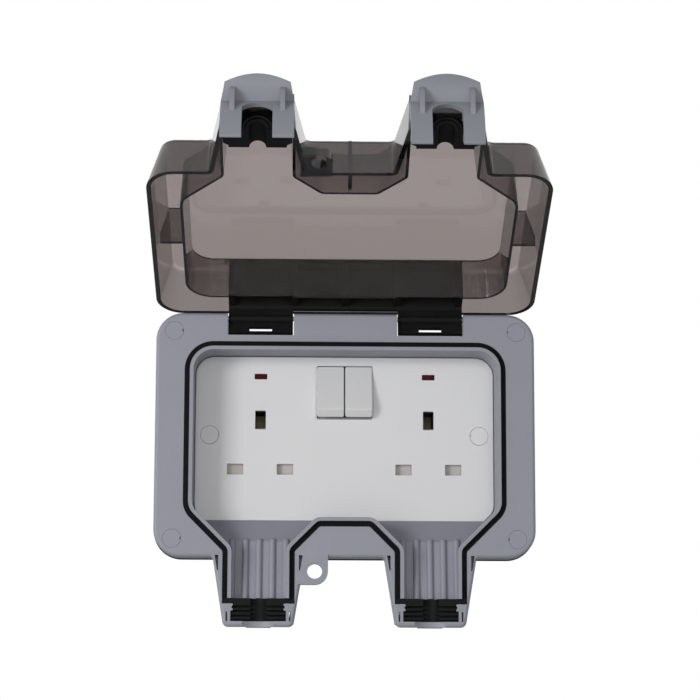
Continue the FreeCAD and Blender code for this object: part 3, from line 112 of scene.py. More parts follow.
class Graph:
    """The node tree of one material or world."""

    def __init__(self, tree: Any) -> None:
        """Empty the tree.

        Args:
            tree: The node tree to build in.
        """
        tree.nodes.clear()
        self.tree = tree

    def node(self, kind: str, settings: Optional[dict[str, Any]] = None,
             sockets: Optional[dict[Union[str, int], Any]] = None, output: Union[str, int] = 0) -> Channel:
        """Add a node of any kind.

        Args:
            kind: The node's type name.
            settings: Properties, set before the sockets; "stops" fills a colour ramp.
            sockets: Values or channels for its inputs.
            output: The output that is returned.

        Returns:
            The chosen output as a channel.
        """
        made = self.tree.nodes.new(kind)
        for name, value in (settings or {}).items():
            if name == "stops":
                self._stops(made.color_ramp, value)
            else:
                setattr(made, name, value)
        for key, value in (sockets or {}).items():
            if isinstance(value, Channel):
                self.tree.links.new(value.socket, made.inputs[key])
            else:
                made.inputs[key].default_value = value
        found = made.outputs[output] if len(made.outputs) else None
        return Channel(self, found)

    @staticmethod
    def _stops(ramp: Any, stops: Sequence[tuple[float, float]]) -> None:
        """Set the grey stops of a ramp.

        Args:
            ramp: The colour ramp.
            stops: Position and grey value of each stop.
        """
        while len(ramp.elements) < len(stops):
            ramp.elements.new(1.0)
        for element, (place, grey) in zip(ramp.elements, stops):
            element.position = place
            element.color = (grey, grey, grey, 1.0)

    def place(self) -> Channel:
        """Object coordinates, in metres."""
        return self.node("ShaderNodeTexCoord", output="Object")

    def noise(self, per_metre: float, detail: float = 2.0, roughness: float = 0.5) -> Channel:
        """Noise in object space.

        Args:
            per_metre: Scale of the noise.
            detail: Octaves.
            roughness: Strength of the fine octaves.

        Returns:
            The noise factor.
        """
        return self.node("ShaderNodeTexNoise", None, {
            "Vector": self.place(), "Scale": per_metre, "Detail": detail, "Roughness": roughness})

    def ramp(self, factor: Channel, stops: Sequence[tuple[float, float]]) -> Channel:
        """Grey ramp of a factor.

        Args:
            factor: The channel to map.
            stops: Position and grey value of each stop.

        Returns:
            The mapped grey.
        """
        return self.node("ShaderNodeValToRGB", {"stops": stops}, {"Fac": factor})

    def blend(self, factor: Any, first: Any, second: Any) -> Channel:
        """Mix two colours.

        Args:
            factor: Share of the second colour.
            first: First colour.
            second: Second colour.

        Returns:
            The mixed colour.
        """
        return self.node("ShaderNodeMix", {"data_type": "RGBA"}, {0: factor, 6: first, 7: second}, output=2)

    def bump(self, height: Channel, depth: float, strength: float = 1.0) -> Channel:
        """Bump from a height.

        Args:
            height: Height from 0 to 1.
            depth: What 1 stands for, in metres.
            strength: Strength of the bump.

        Returns:
            The bent normal.
        """
        return self.node("ShaderNodeBump", None, {
            "Height": height, "Distance": depth, "Strength": strength})

    def surface(self, shader: Channel, inside: Optional[Channel] = None) -> None:
        """Join a shader to the output.

        Args:
            shader: The surface shader.
            inside: The volume shader of a clear solid.
        """
        self.node("ShaderNodeOutputMaterial", None,
                  {"Surface": shader, "Volume": inside} if inside else {"Surface": shader})


def rgba(colour: Colour) -> tuple[float, float, float, float]:
    """Colour with full alpha."""
    return (*colour, 1.0)


def shaded(colour: Colour, factor: float) -> tuple[float, float, float, float]:
    """A colour made lighter or darker.

    Args:
        colour: The colour.
        factor: What it is multiplied by.

    Returns:
        The new colour with full alpha.
    """
    return (colour[0] * factor, colour[1] * factor, colour[2] * factor, 1.0)


# Finishes

@dataclass(frozen=True)
class Finish:
    """Base of every finish.

    Attributes:
        name: Name of the material.
    """

    name: str

    def dress(self, graph: Graph) -> Channel:
        """Build the shader.

        Args:
            graph: The material's graph.

        Returns:
            The finished shader.
        """
        raise NotImplementedError

    def within(self, graph: Graph) -> Optional[Channel]:
        """Volume shader of a clear solid, where the finish has one."""
        return None

    def material(self) -> Any:
        """Blender material, made once and kept apart from the plain one of the CAD.

        Returns:
            The material.
        """
        title = f"{self.name}_finish"
        found = bpy.data.materials.get(title)
        if found is None:
            found = bpy.data.materials.new(title)
            found.use_nodes = True
            graph = Graph(found.node_tree)
            graph.surface(self.dress(graph), self.within(graph))
        return found


@dataclass(frozen=True)
class MouldedPlastic(Finish):
    """Opaque injection-moulded plastic with a spark-eroded grain.

    Attributes:
        colour: Base colour.
        roughness: Mean roughness.
        grain: Size of the grain, in metres.
        depth: Depth of the grain, in metres.
        mottling: How far the colour varies.
        coat: Weight of the gloss on top.
    """

    colour: Colour = (0.5, 0.5, 0.5)
    roughness: float = 0.45
    grain: float = 0.0006
    depth: float = 0.00002
    mottling: float = 0.04
    coat: float = 0.0

    def dress(self, graph: Graph) -> Channel:
        """Grainy plastic with faint flow marks.

        Args:
            graph: The material's graph.

        Returns:
            The finished shader.
        """
        flow = graph.ramp(graph.noise(28.0, 3.0), [(0.3, 0.0), (0.7, 1.0)])
        grain = graph.noise(1.0 / self.grain, 2.0, 0.6)
        colour = graph.blend(
            flow, shaded(self.colour, 1 - self.mottling), shaded(self.colour, 1 + self.mottling))
        rough = graph.ramp(grain, [(0.3, self.roughness - 0.05), (0.7, self.roughness + 0.05)])
        return graph.node("ShaderNodeBsdfPrincipled", None, {
            "Base Color": colour, "Roughness": rough, "Normal": graph.bump(grain, self.depth),
            "Coat Weight": self.coat, "Coat Roughness": 0.12, "IOR": 1.5})


@dataclass(frozen=True)
class SmokedPlastic(Finish):
    """Clear smoked polycarbonate.

    Attributes:
        tint: Light that one face of the panel lets through.
        walls: Share of the tint on the side walls, skirt and ribs, a painted shade that makes them darker
            than the panel.
        body: Colour that its depth takes on.
        density: How quickly its depth darkens, per metre.
        haze: Diffuse colour of its surface.
        haze_share: Share of the haze in the shader.
        roughness: Roughness of its polished faces.
        refraction: Its index of refraction.
        rimward: Direction from the panel to the rim of the open cover.
        panel: Distance along it of the panel's inner face, in metres.
    """

    tint: Colour = (0.985, 0.97, 0.965)
    walls: float = 0.66
    body: Colour = (0.24, 0.15, 0.13)
    density: float = 570.0
    haze: Colour = (0.04, 0.04, 0.04)
    haze_share: float = 0.06
    roughness: float = 0.04
    refraction: float = 1.52
    rimward: Triple = (0.0, -0.3746, -0.9272)
    panel: float = -0.05305

    def dress(self, graph: Graph) -> Channel:
        """Tinted clear wall with a little surface haze, and painted shade that darkens the side walls, skirt
        and ribs.

        Args:
            graph: The material's graph.

        Returns:
            The finished shader.
        """
        wave = graph.noise(60.0, 1.0)
        normal = graph.bump(wave, 0.00015, 0.35)
        # Painted shade: everything beyond the panel's inner face (side walls, skirt, ribs) gets a darker
        # tint, for walls seen edge-on and through each other.
        along = graph.node("ShaderNodeVectorMath", {"operation": "DOT_PRODUCT"},
                           {0: graph.place(), 1: self.rimward}, output="Value")
        wall = graph.ramp((along - self.panel) * (1 / MM), [(0.2, 0.0), (1.0, 1.0)])
        tint = graph.blend(wall, rgba(self.tint), shaded(self.tint, self.walls))
        clear = graph.node("ShaderNodeBsdfPrincipled", None, {
            "Base Color": tint, "Roughness": self.roughness, "IOR": self.refraction,
            "Transmission Weight": 1.0, "Normal": normal})
        dust = graph.ramp(graph.noise(900.0, 2.0), [(0.35, 0.9), (0.75, 1.1)])
        cast = graph.blend(dust, shaded(self.haze, 0.85), shaded(self.haze, 1.1))
        veil = graph.node("ShaderNodeBsdfPrincipled", None, {
            "Base Color": cast, "Roughness": 0.35, "IOR": 1.5, "Normal": normal})
        return graph.node("ShaderNodeMixShader", None, {0: self.haze_share, 1: clear, 2: veil})

    def within(self, graph: Graph) -> Optional[Channel]:
        """Smoke that darkens with the depth of plastic that light passes."""
        return graph.node("ShaderNodeVolumeAbsorption", None, {
            "Color": rgba(self.body), "Density": self.density})


@dataclass(frozen=True)
class Rubber(Finish):
    """Black sealing rubber.

    Attributes:
        colour: Base colour.
        roughness: Mean roughness.
    """

    colour: Colour = (0.012, 0.012, 0.013)
    roughness: float = 0.6

    def dress(self, graph: Graph) -> Channel:
        """Matt rubber with a faint bloom.

        Args:
            graph: The material's graph.

        Returns:
            The finished shader.
        """
        bloom = graph.ramp(graph.noise(180.0, 3.0), [(0.4, 0.0), (0.75, 1.0)])
        grain = graph.noise(3500.0, 2.0)
        colour = graph.blend(bloom, rgba(self.colour), shaded(self.colour, 1.6))
        rough = graph.ramp(bloom, [(0.0, self.roughness - 0.06), (1.0, self.roughness + 0.08)])
        return graph.node("ShaderNodeBsdfPrincipled", None, {
            "Base Color": colour, "Roughness": rough, "Normal": graph.bump(grain, 0.00002),
            "Specular IOR Level": 0.14, "IOR": 1.5})


@dataclass(frozen=True)
class DrawnMetal(Finish):
    """Pressed or turned metal.

    Attributes:
        colour: Colour of its reflection.
        roughness: Mean roughness.
    """

    colour: Colour = (0.6, 0.6, 0.62)
    roughness: float = 0.35

    def dress(self, graph: Graph) -> Channel:
        """Metal with fine drawing marks and faint tarnish.

        Args:
            graph: The material's graph.

        Returns:
            The finished shader.
        """
        marks = graph.noise(1500.0, 3.0, 0.7)
        tarnish = graph.ramp(graph.noise(220.0, 2.0), [(0.35, 0.0), (0.75, 1.0)])
        colour = graph.blend(tarnish, rgba(self.colour), shaded(self.colour, 0.8))
        rough = graph.ramp(marks, [(0.3, self.roughness - 0.08), (0.7, self.roughness + 0.08)])
        return graph.node("ShaderNodeBsdfPrincipled", None, {
            "Base Color": colour, "Metallic": 1.0, "Roughness": rough,
            "Normal": graph.bump(marks, 0.00001)})


@dataclass(frozen=True)
class LensPlastic(Finish):
    """Red translucent window of an indicator.

    Attributes:
        colour: Colour of the lens.
    """

    colour: Colour = (0.06, 0.002, 0.004)

    def dress(self, graph: Graph) -> Channel:
        """Glossy deep red with fine prisms.

        Args:
            graph: The material's graph.

        Returns:
            The finished shader.
        """
        prisms = graph.noise(2600.0, 1.0)
        depth = graph.ramp(graph.noise(500.0, 2.0), [(0.3, 0.0), (0.7, 1.0)])
        colour = graph.blend(depth, shaded(self.colour, 0.6), shaded(self.colour, 1.2))
        return graph.node("ShaderNodeBsdfPrincipled", None, {
            "Base Color": colour, "Roughness": 0.35, "Normal": graph.bump(prisms, 0.00003),
            "Specular IOR Level": 0.08, "IOR": 1.45})


class Finishes(Enum):
    """Finish of each material slot of the record."""

    FRAME_GREY = MouldedPlastic("frame_grey", (0.282, 0.289, 0.335), 0.5, 0.0007, 0.000022, 0.03)
    BOX_GREY = MouldedPlastic("box_grey", (0.235, 0.245, 0.28), 0.55, 0.0007, 0.000022, 0.04)
    CLIP_GREY = MouldedPlastic("clip_grey", (0.237, 0.25, 0.28), 0.42, 0.0006, 0.000015, 0.03)
    PLATE_WHITE = MouldedPlastic("plate_white", (0.70, 0.70, 0.71), 0.34, 0.0016, 0.000003, 0.006, 0.12)
    ROCKER_WHITE = MouldedPlastic("rocker_white", (0.70, 0.70, 0.705), 0.32, 0.0016, 0.000001, 0.006, 0.1)
    BODY_DARK = MouldedPlastic("body_dark", (0.02, 0.02, 0.02), 0.5, 0.0006, 0.00002, 0.05)
    SHUTTER_LIGHT = MouldedPlastic("shutter_light", (0.5, 0.465, 0.445), 0.45, 0.0008, 0.00001, 0.03)
    SMOKED_CLEAR = SmokedPlastic("smoked_clear")
    SEAL_BLACK = Rubber("seal_black", (0.005, 0.005, 0.0055), 0.68)
    GASKET_BLACK = Rubber("gasket_black", (0.003, 0.003, 0.0035), 0.8)
    LENS_RED = LensPlastic("lens_red")
    # The contacts' brass colour is darkened far below brass: painted shade of the contacts deep in their
    # slots.
    CONTACT_BRASS = DrawnMetal("contact_brass", (0.11, 0.088, 0.055), 0.45)
    SCREW_STEEL = DrawnMetal("screw_steel", (0.60, 0.60, 0.62), 0.35)

    @classmethod
    def of_slot(cls, slot: str) -> Finish:
        """Finish of a slot of the record.

        Args:
            slot: The slot's name.

        Returns:
            Its finish.
        """
        return cls[slot.upper()].value


# Mesh tools

def alone(piece: Any) -> None:
    """Select one object and make it the active one.

    Args:
        piece: The object.
    """
    bpy.ops.object.select_all(action="DESELECT")
    piece.select_set(True)
    bpy.context.view_layer.objects.active = piece


def slot_of(node: str) -> str:
    """Material slot that the record gives a node.

    Args:
        node: The node's name.

    Returns:
        The slot's name.
    """
    return next(part["material_slot"] for part in frame["record"]["subparts"] if part["node"] == node)


def body_of(node: str) -> str:
    """Body that a node rides on.

    Args:
        node: The node's name.

    Returns:
        The body's name.
    """
    bodies = frame["record"]["behaviour"]["bodies"]
    return next(body for body, members in bodies.items() if node in members)


def paint(piece: Any, finish: Finish) -> None:
    """Give a piece one finish all over.

    Args:
        piece: The object.
        finish: Its finish.
    """
    piece.data.materials.clear()
    piece.data.materials.append(finish.material())


def dress_node(node: str) -> None:
    """Give a CAD node the finish of its slot."""
    paint(frame["nodes"][node], Finishes.of_slot(slot_of(node)))


def carved(piece: Any, tool: Any, operation: str = "DIFFERENCE") -> Any:
    """Cut a tool piece out of a piece, or join the two, and remove the tool.

    Args:
        piece: The object that stays.
        tool: The object that is used up.
        operation: DIFFERENCE or UNION.

    Returns:
        The piece.
    """
    step = piece.modifiers.new("carving", "BOOLEAN")
    step.operation = operation
    step.solver = "EXACT"
    step.object = tool
    alone(piece)
    bpy.ops.object.modifier_apply(modifier=step.name)
    bpy.data.objects.remove(tool)
    return piece


def swung_open(piece: Any) -> Any:
    """Swing a piece that is drawn on the shut cover round the hinge, to where the open cover is.

    Args:
        piece: The piece.

    Returns:
        The piece, with its new place in its mesh.
    """
    alone(piece)
    pin = Matrix.Translation(HINGE)
    piece.matrix_world = pin @ Matrix.Rotation(-OPEN_ANGLE, 4, "X") @ pin.inverted() @ piece.matrix_world
    bpy.ops.object.transform_apply(location=True, rotation=True, scale=True)
    return piece


def block(low: Sequence[float], high: Sequence[float]) -> Any:
    """Add a block, with its place in its mesh.

    Args:
        low: Lowest corner, in millimetres.
        high: Highest corner, in millimetres.

    Returns:
        The block.
    """
    size = [(b - a) * MM for a, b in zip(low, high)]
    middle = [(a + b) / 2 * MM for a, b in zip(low, high)]
    bpy.ops.object.select_all(action="DESELECT")
    bpy.ops.mesh.primitive_cube_add(size=1.0, location=middle, scale=size)
    bpy.ops.object.transform_apply(location=True, rotation=True, scale=True)
    return bpy.context.object


def rod(radius: float, half: float, centre: Sequence[float]) -> Any:
    """Add a round rod along X, with its place in its mesh.

    Args:
        radius: Its radius, in millimetres.
        half: Half its length, in millimetres.
        centre: Its middle, in millimetres.

    Returns:
        The rod.
    """
    bpy.ops.object.select_all(action="DESELECT")
    place = [value * MM for value in centre]
    bpy.ops.mesh.primitive_cylinder_add(vertices=48, radius=radius * MM, depth=2 * half * MM,
                                        location=place, rotation=(0, math.pi / 2, 0))
    bpy.ops.object.transform_apply(location=True, rotation=True, scale=True)
    return bpy.context.object


def slide_edge(piece: Any, place: Sequence[float], drop: float) -> None:
    """Slide one long edge of a block down.

    Args:
        piece: The block.
        place: Y and Z of the edge, in millimetres.
        drop: How far it goes down, in millimetres.
    """
    alone(piece)
    bpy.ops.object.mode_set(mode="EDIT")
    bpy.ops.mesh.select_mode(type="VERT")
    bpy.ops.mesh.select_all(action="DESELECT")
    bpy.ops.object.mode_set(mode="OBJECT")
    for vertex in piece.data.vertices:
        vertex.select = math.dist(vertex.co[1:], [value * MM for value in place]) < SAME_PLACE
    bpy.ops.object.mode_set(mode="EDIT")
    bpy.ops.transform.translate(value=(0, 0, -drop * MM))
    bpy.ops.object.mode_set(mode="OBJECT")


def round_corners(piece: Any, radius: float, steep: float = 0.8) -> Any:
    """Round the four edges of a block that run from front to back.

    Args:
        piece: The block.
        radius: Their radius, in millimetres.
        steep: Least share of such an edge's length that lies along Y.

    Returns:
        The block.
    """
    alone(piece)
    bpy.ops.object.mode_set(mode="EDIT")
    bpy.ops.mesh.select_mode(type="EDGE")
    bpy.ops.mesh.select_all(action="DESELECT")
    bpy.ops.object.mode_set(mode="OBJECT")
    points = piece.data.vertices
    for edge in piece.data.edges:
        run = points[edge.vertices[1]].co - points[edge.vertices[0]].co
        edge.select = abs(run.x) < SAME_PLACE and abs(run.y) > steep * run.length
    bpy.ops.object.mode_set(mode="EDIT")
    bpy.ops.mesh.bevel(offset=radius * MM, segments=6, affect="EDGES", clamp_overlap=False)
    bpy.ops.object.mode_set(mode="OBJECT")
    return piece


def copied(node: str, dissolve: bool = True) -> Any:
    """Merged copy of a CAD node's mesh.

    Args:
        node: The node's name.
        dissolve: Whether the triangles of its flat faces are joined.

    Returns:
        The copy.
    """
    piece = bpy.data.objects.new(f"{node}_moulding", frame["nodes"][node].data.copy())
    bpy.context.scene.collection.objects.link(piece)
    alone(piece)
    bpy.ops.mesh.customdata_custom_splitnormals_clear()
    bpy.ops.object.mode_set(mode="EDIT")
    bpy.ops.mesh.select_all(action="SELECT")
    bpy.ops.mesh.remove_doubles(threshold=MERGE_DISTANCE)
    if dissolve:
        bpy.ops.mesh.dissolve_limited(angle_limit=FLAT_ANGLE, use_dissolve_boundaries=False)
    bpy.ops.object.mode_set(mode="OBJECT")
    return piece


def rounded(piece: Any, width: float, segments: int = 2, clamp: bool = True) -> Any:
    """Give the sharp edges of a piece the small radius of a real moulding.

    Args:
        piece: The object.
        width: Radius of the edges, in metres.
        segments: Faces across each rounded edge.
        clamp: Whether the radius shrinks where it would not fit.

    Returns:
        The piece.
    """
    alone(piece)
    edge = piece.modifiers.new("moulded_edges", "BEVEL")
    edge.width = width
    edge.segments = segments
    edge.limit_method = "ANGLE"
    edge.angle_limit = math.radians(SHARP_DEGREES)
    edge.use_clamp_overlap = clamp
    edge.harden_normals = False
    edge.miter_outer = "MITER_ARC"
    bpy.ops.object.modifier_apply(modifier=edge.name)
    bpy.ops.object.shade_smooth_by_angle(angle=math.radians(SHARP_DEGREES))
    shading = piece.modifiers.new("flat_faces_stay_flat", "WEIGHTED_NORMAL")
    shading.keep_sharp = True
    bpy.ops.object.modifier_apply(modifier=shading.name)
    return piece


def softened(node: str, width: float, segments: int = 2, start: Optional[Any] = None) -> Any:
    """Copy of a CAD node with rounded edges, which takes the node's place.

    Args:
        node: The node that the copy replaces.
        width: Radius of the edges, in metres.
        segments: Faces across each rounded edge.
        start: A copy of the node that has been worked on already.

    Returns:
        The new object.
    """
    piece = rounded(start or copied(node), width, segments)
    paint(piece, Finishes.of_slot(slot_of(node)))
    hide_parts(node)
    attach(piece, body_of(node))
    log.info("%s: %d faces", piece.name, len(piece.data.polygons))
    return piece


# Sub-assemblies

@dataclass(frozen=True)
class LipRoom:
    """Space where the head of a lower seal crosses the lips on both sides of its pocket.

    Attributes:
        inner: Distance of its inner side from the snout's middle, in millimetres.
        outer: Distance of its outer side.
        front: Y of its front.
        back: Y of its back.
        foot: Z of its lower side.
        head: Z of its upper side.
    """

    inner: float
    outer: float
    front: float
    back: float = -50.0
    foot: float = -74.25
    head: float = -71.95

    def beside(self, outlet: float, side: int) -> Any:
        """Add the space across one lip, as a block.

        Args:
            outlet: X of the snout's middle, in millimetres.
            side: -1 for the lip on the left, 1 for the one on the right.

        Returns:
            The block.
        """
        low, high = sorted((outlet + side * self.inner, outlet + side * self.outer))
        return block((low, self.front, self.foot), (high, self.back, self.head))


@dataclass
class Housing:
    """Back box, front frame, gaskets and corner screws.

    Attributes:
        edge: Radius of the moulded edges, in metres.
        lip_gap: Gap in the frame's lips for the lower seals' heads.
    """

    edge: float = 0.3 * MM
    lip_gap: LipRoom = LipRoom(11.6, 13.45, -55.0)

    def build(self) -> None:
        """Dress the housing and open the frame's lips for the seals."""
        frame_copy = copied("front_frame", dissolve=False)
        for outlet in OUTLETS:
            for side in (-1, 1):
                carved(frame_copy, self.lip_gap.beside(outlet, side))
        softened("front_frame", self.edge, start=frame_copy)
        softened("back_box", self.edge)
        for node in ("box_gasket", "cover_gasket", "frame_screws", "frame_screw_caps", "hinge_pin_left",
                     "hinge_pin_right"):
            dress_node(node)


@dataclass
class Faceplate:
    """White plate with its caps, windows, rockers and the works behind it.

    Attributes:
        edge: Radius of the plate's edges, in metres.
        rocker_edge: Radius of the rockers' edges, in metres.
        trimmed_edge: Radius of the edges that the rounding of the corners leaves, in metres.
        liner_edge: Radius of the liner's edges, in metres.
        rocker_sides: X of the near and the far side of the right rocker, in millimetres.
        foot: Z of the rockers' lower side.
        head: Z of the rockers' upper side.
        nose: Y of the rockers' lowest edge.
        lean: Rise of the rockers' under side for each millimetre of depth.
        corner: Radius of the rockers' upright corners.
        corner_reach: Y between which these corners are rounded, in front of the pivots.
        window: Width of the plate's window round the rockers.
        play: Gap between the rockers and the liner.
        swing: Gap under the rockers, which swing into it.
        swing_lean: Rise of the gap's floor for each millimetre of depth.
        liner_reach: Y of the liner's front and back.
        room_reach: Y of both ends of the room that is cut in the liner.
    """

    edge: float = 0.25 * MM
    rocker_edge: float = 0.5 * MM
    trimmed_edge: float = 0.02 * MM
    liner_edge: float = 0.1 * MM
    rocker_sides: tuple[float, float] = (0.25, 12.35)
    foot: float = 9.5
    head: float = 32.9
    nose: float = -37.69
    lean: float = 0.42
    corner: float = 1.2
    corner_reach: tuple[float, float] = (-42.0, -31.3)
    window: float = 0.6
    play: float = 0.12
    swing: float = 0.65
    swing_lean: float = 0.56
    liner_reach: tuple[float, float] = (-34.98, -32.5)
    room_reach: tuple[float, float] = (-36.0, -31.0)

    def rocker(self, side: str) -> Any:
        """Copy of a rocker with its upright corners rounded in front of its pivots.

        Args:
            side: Which rocker, left or right.

        Returns:
            The copy.
        """
        sign = -1 if side == "left" else 1
        left, right = sorted(sign * place for place in self.rocker_sides)
        front, back = self.corner_reach
        piece = rounded(copied(f"rocker_{side}"), self.rocker_edge, segments=3, clamp=False)
        waste = block((left - 1, front, self.foot - 1), (right + 1, back, self.head + 1))
        near, far = front - 1, back + 1
        foot = self.foot - self.lean * (self.nose - near)
        kept = block((left, near, foot), (right, far, self.head))
        slide_edge(kept, (far, foot), -self.lean * (far - near))
        return carved(piece, carved(waste, round_corners(kept, self.corner)))

    def window_liner(self) -> None:
        """White liner of the rockers' window, which leaves them only a fine gap."""
        side = self.rocker_sides[1]
        outer, inner = side + self.window, side + self.play
        front, back = self.liner_reach
        liner = block((-outer, front, self.foot - self.window), (outer, back, self.head + self.window))
        near, far = self.room_reach
        foot = self.foot - self.swing - self.swing_lean
        room = block((-inner, near, foot), (inner, far, self.head + self.play))
        slide_edge(room, (far, foot), -self.swing_lean * (far - near))
        carved(liner, round_corners(room, self.corner / 2))
        liner = rounded(liner, self.liner_edge)
        liner.name = "window_liner"
        paint(liner, Finishes.PLATE_WHITE.value)
        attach(liner, body_of("socket_plate"))

    def build(self) -> None:
        """Dress the plate and its pieces."""
        softened("socket_plate", self.edge)
        self.window_liner()
        for side in ("left", "right"):
            softened(f"rocker_{side}", self.trimmed_edge, start=self.rocker(side))
            for piece in ("neon_lens", "shutter", "shutter_spring", "line_contact", "neutral_contact"):
                dress_node(f"{piece}_{side}")
        for node in ("socket_body", "earth_strap", "terminal_screws", "plate_screws", "plate_screw_caps"):
            dress_node(node)


@dataclass
class Seals:
    """Rubber blocks in the ends of the snouts.

    Attributes:
        edge: Radius of the rubber's edges, in metres.
        head: Part of a lower seal's head that lies in the gap of a lip.
    """

    edge: float = 0.15 * MM
    head: LipRoom = LipRoom(11.4, 13.4, -51.9)

    def build(self) -> None:
        """Dress the four seals and widen the lower ones to the gasket."""
        for side, outlet in zip(("left", "right"), OUTLETS):
            lower = copied(f"lower_seal_{side}")
            for across in (-1, 1):
                carved(lower, self.head.beside(outlet, across), "UNION")
            softened(f"lower_seal_{side}", self.edge, start=lower)
            softened(f"upper_seal_{side}", self.edge)


@dataclass
class ChannelRoom:
    """Room between the skirt and the outer wall at the hinge side, on the shut cover.

    Attributes:
        rim: Y of the cover's rim, in millimetres.
        foot: Z of the skirt at the rim, in millimetres.
        head: Z of the outer wall at the rim, in millimetres.
        foot_lean: How far the skirt leans in, per millimetre of depth.
        head_lean: How far the outer wall leans in, per millimetre of depth.
    """

    rim: float = -52.5
    foot: float = 40.7
    head: float = 52.0
    foot_lean: float = 0.035
    head_lean: float = 0.2667

    def filled(self, span: tuple[float, float], deep: float, front: float, gap: float, above: float) -> Any:
        """Add a block that follows the skirt and the outer wall.

        Args:
            span: X of its ends, in millimetres.
            deep: Y of the side next to the panel.
            front: Y of the side next to the rim.
            gap: Clearance to the skirt.
            above: Clearance to the outer wall.

        Returns:
            The block.
        """
        foot = self.foot + self.foot_lean * (front - self.rim) + gap
        head = self.head + self.head_lean * (front - self.rim) - above
        made = block((span[0], deep, foot), (span[1], front, head))
        slide_edge(made, (deep, head), self.head_lean * (front - deep))
        slide_edge(made, (deep, foot), self.foot_lean * (front - deep))
        return made


@dataclass
class HingeBar:
    """Black bar in the cover's channel, with ribs, knuckles and both slotted tongues; the shapes are the
    cover's own, and its black is painted shade standing in for the near-black of the stacked smoked walls,
    skirt and ribs at the hinge side.

    Attributes:
        room: The channel that it lies in.
        half: Half its length, in millimetres.
        deep: Y of the side next to the panel, on the shut cover.
        wall: Thickness of its walls.
        rib: Thickness of its ribs.
        rib_front: Y of the ribs' free edges.
        clear: Clearance to the cover.
        past: How far a cut runs past the bar.
        tongue_half: Half the width of a tongue.
        beside: Gap between a tongue and the rib next to it.
        tip: Y of the tongues' tips.
        strap: Z of the lower and the upper face of a tongue.
        knuckle: Radius of a knuckle.
        bore: Radius of the hole for the pin.
        slot: Half width, start and end of the slot in a tongue.
        edge: Radius of its edges, in metres.
    """

    room: ChannelRoom
    half: float = 51.9
    deep: float = -71.4
    wall: float = 1.6
    rib: float = 3.0
    rib_front: float = -54.0
    clear: float = 0.1
    past: float = 2.0
    tongue_half: float = 14.3
    beside: float = 0.4
    tip: float = -41.3
    strap: tuple[float, float] = (52.0, 54.0)
    knuckle: float = 2.0
    bore: float = 1.06
    slot: tuple[float, float, float] = (5.0, -44.3, -42.1)
    edge: float = 0.2 * MM

    def trough(self) -> Any:
        """Floor and outer wall of the bar, with five ribs across them.

        Returns:
            The bar without its tongues.
        """
        room, skin, front = self.room, self.clear + self.wall, self.room.rim + 1
        bar = room.filled((-self.half, self.half), self.deep, room.rim - self.clear, self.clear, self.clear)
        inner = OUTLETS[1] - self.tongue_half - self.beside
        ribs = [-self.half + self.rib / 2, -inner, 0.0, inner, self.half - self.rib / 2]
        for left, right in zip(ribs, ribs[1:]):
            cell = (left + self.rib / 2, right - self.rib / 2)
            carved(bar, room.filled(cell, self.deep + self.wall, front, -self.past, skin))
        ends = (-self.half - self.past, self.half + self.past)
        return carved(bar, room.filled(ends, self.rib_front, front, -self.past, skin))

    def tongue(self, x: float) -> Any:
        """Link, knuckle and slotted tongue of one notch.

        Args:
            x: Middle of the notch, in millimetres.

        Returns:
            The tongue.
        """
        half, (low, high) = self.tongue_half, self.strap
        pin = (HINGE.y / MM, HINGE.z / MM)
        strap = block((x - half, pin[0], low), (x + half, self.tip, high))
        half_slot, start, end = self.slot
        carved(strap, block((x - half_slot, start, low - 1), (x + half_slot, end, high + 1)))
        carved(strap, rod(self.knuckle, half, (x, *pin)), "UNION")
        top = self.room.head - self.clear
        link = block((x - half, self.room.rim - self.wall, top - self.wall),
                     (x + half, pin[0], top - self.clear / 2))
        return carved(strap, link, "UNION")

    def build(self) -> None:
        """Make the bar and put it on the open cover."""
        bar = self.trough()
        for x in OUTLETS:
            carved(bar, self.tongue(x), "UNION")
            carved(bar, rod(self.bore, self.tongue_half + 1, (x, HINGE.y / MM, HINGE.z / MM)))
        bar = rounded(swung_open(bar), self.edge)
        bar.name = "hinge_bar"
        # Painted shade: the bar is black rubber where the cover's own thick smoked ribs and walls look near
        # black.
        paint(bar, Finishes.SEAL_BLACK.value)
        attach(bar, body_of("cover"))


@dataclass
class Lid:
    """Smoked cover with its hinge bar, whose black is painted shade of the thick smoked hinge side.

    Attributes:
        edge: Radius of the cover's edges, in metres.
        ribbed: X of the ends of the stretch that the bar takes up, in millimetres.
        floor: Y of the channel's floor, on the shut cover.
        proud: How far the cleared channel runs past the rim.
        bite: How far it cuts into the walls, so that no skin is left.
        notch_half: Half the width of the room for a tongue.
        notch_tip: Y of the end of this room.
        notch: Z of its lower and upper side.
    """

    edge: float = 0.3 * MM
    ribbed: tuple[float, float] = (-54.0, 54.0)
    floor: float = -71.5
    proud: float = 0.5
    bite: float = 0.02
    notch_half: float = 14.6
    notch_tip: float = -40.0
    notch: tuple[float, float] = (48.0, 56.0)

    def build(self) -> None:
        """Clear the cover's channel of its smoked ribs, dress the cover and fit the black bar that paints
        their shade.
        """
        room = ChannelRoom()
        cover = copied("cover")
        front = room.rim + self.proud
        carved(cover, swung_open(room.filled(self.ribbed, self.floor, front, -self.bite, -self.bite)))
        half, (low, high) = self.notch_half, self.notch
        for x in OUTLETS:
            tongue_room = block((x - half, room.rim, low), (x + half, self.notch_tip, high))
            carved(cover, swung_open(tongue_room))
        softened("cover", self.edge, start=cover)
        HingeBar(room).build()


@dataclass
class Clips:
    """Latches with their pins.

    Attributes:
        edge: Radius of the latches' edges, in metres.
    """

    edge: float = 0.4 * MM

    def build(self) -> None:
        """Dress both latches."""
        for side in ("left", "right"):
            softened(f"latch_{side}", self.edge, segments=3)
            dress_node(f"latch_pins_{side}")


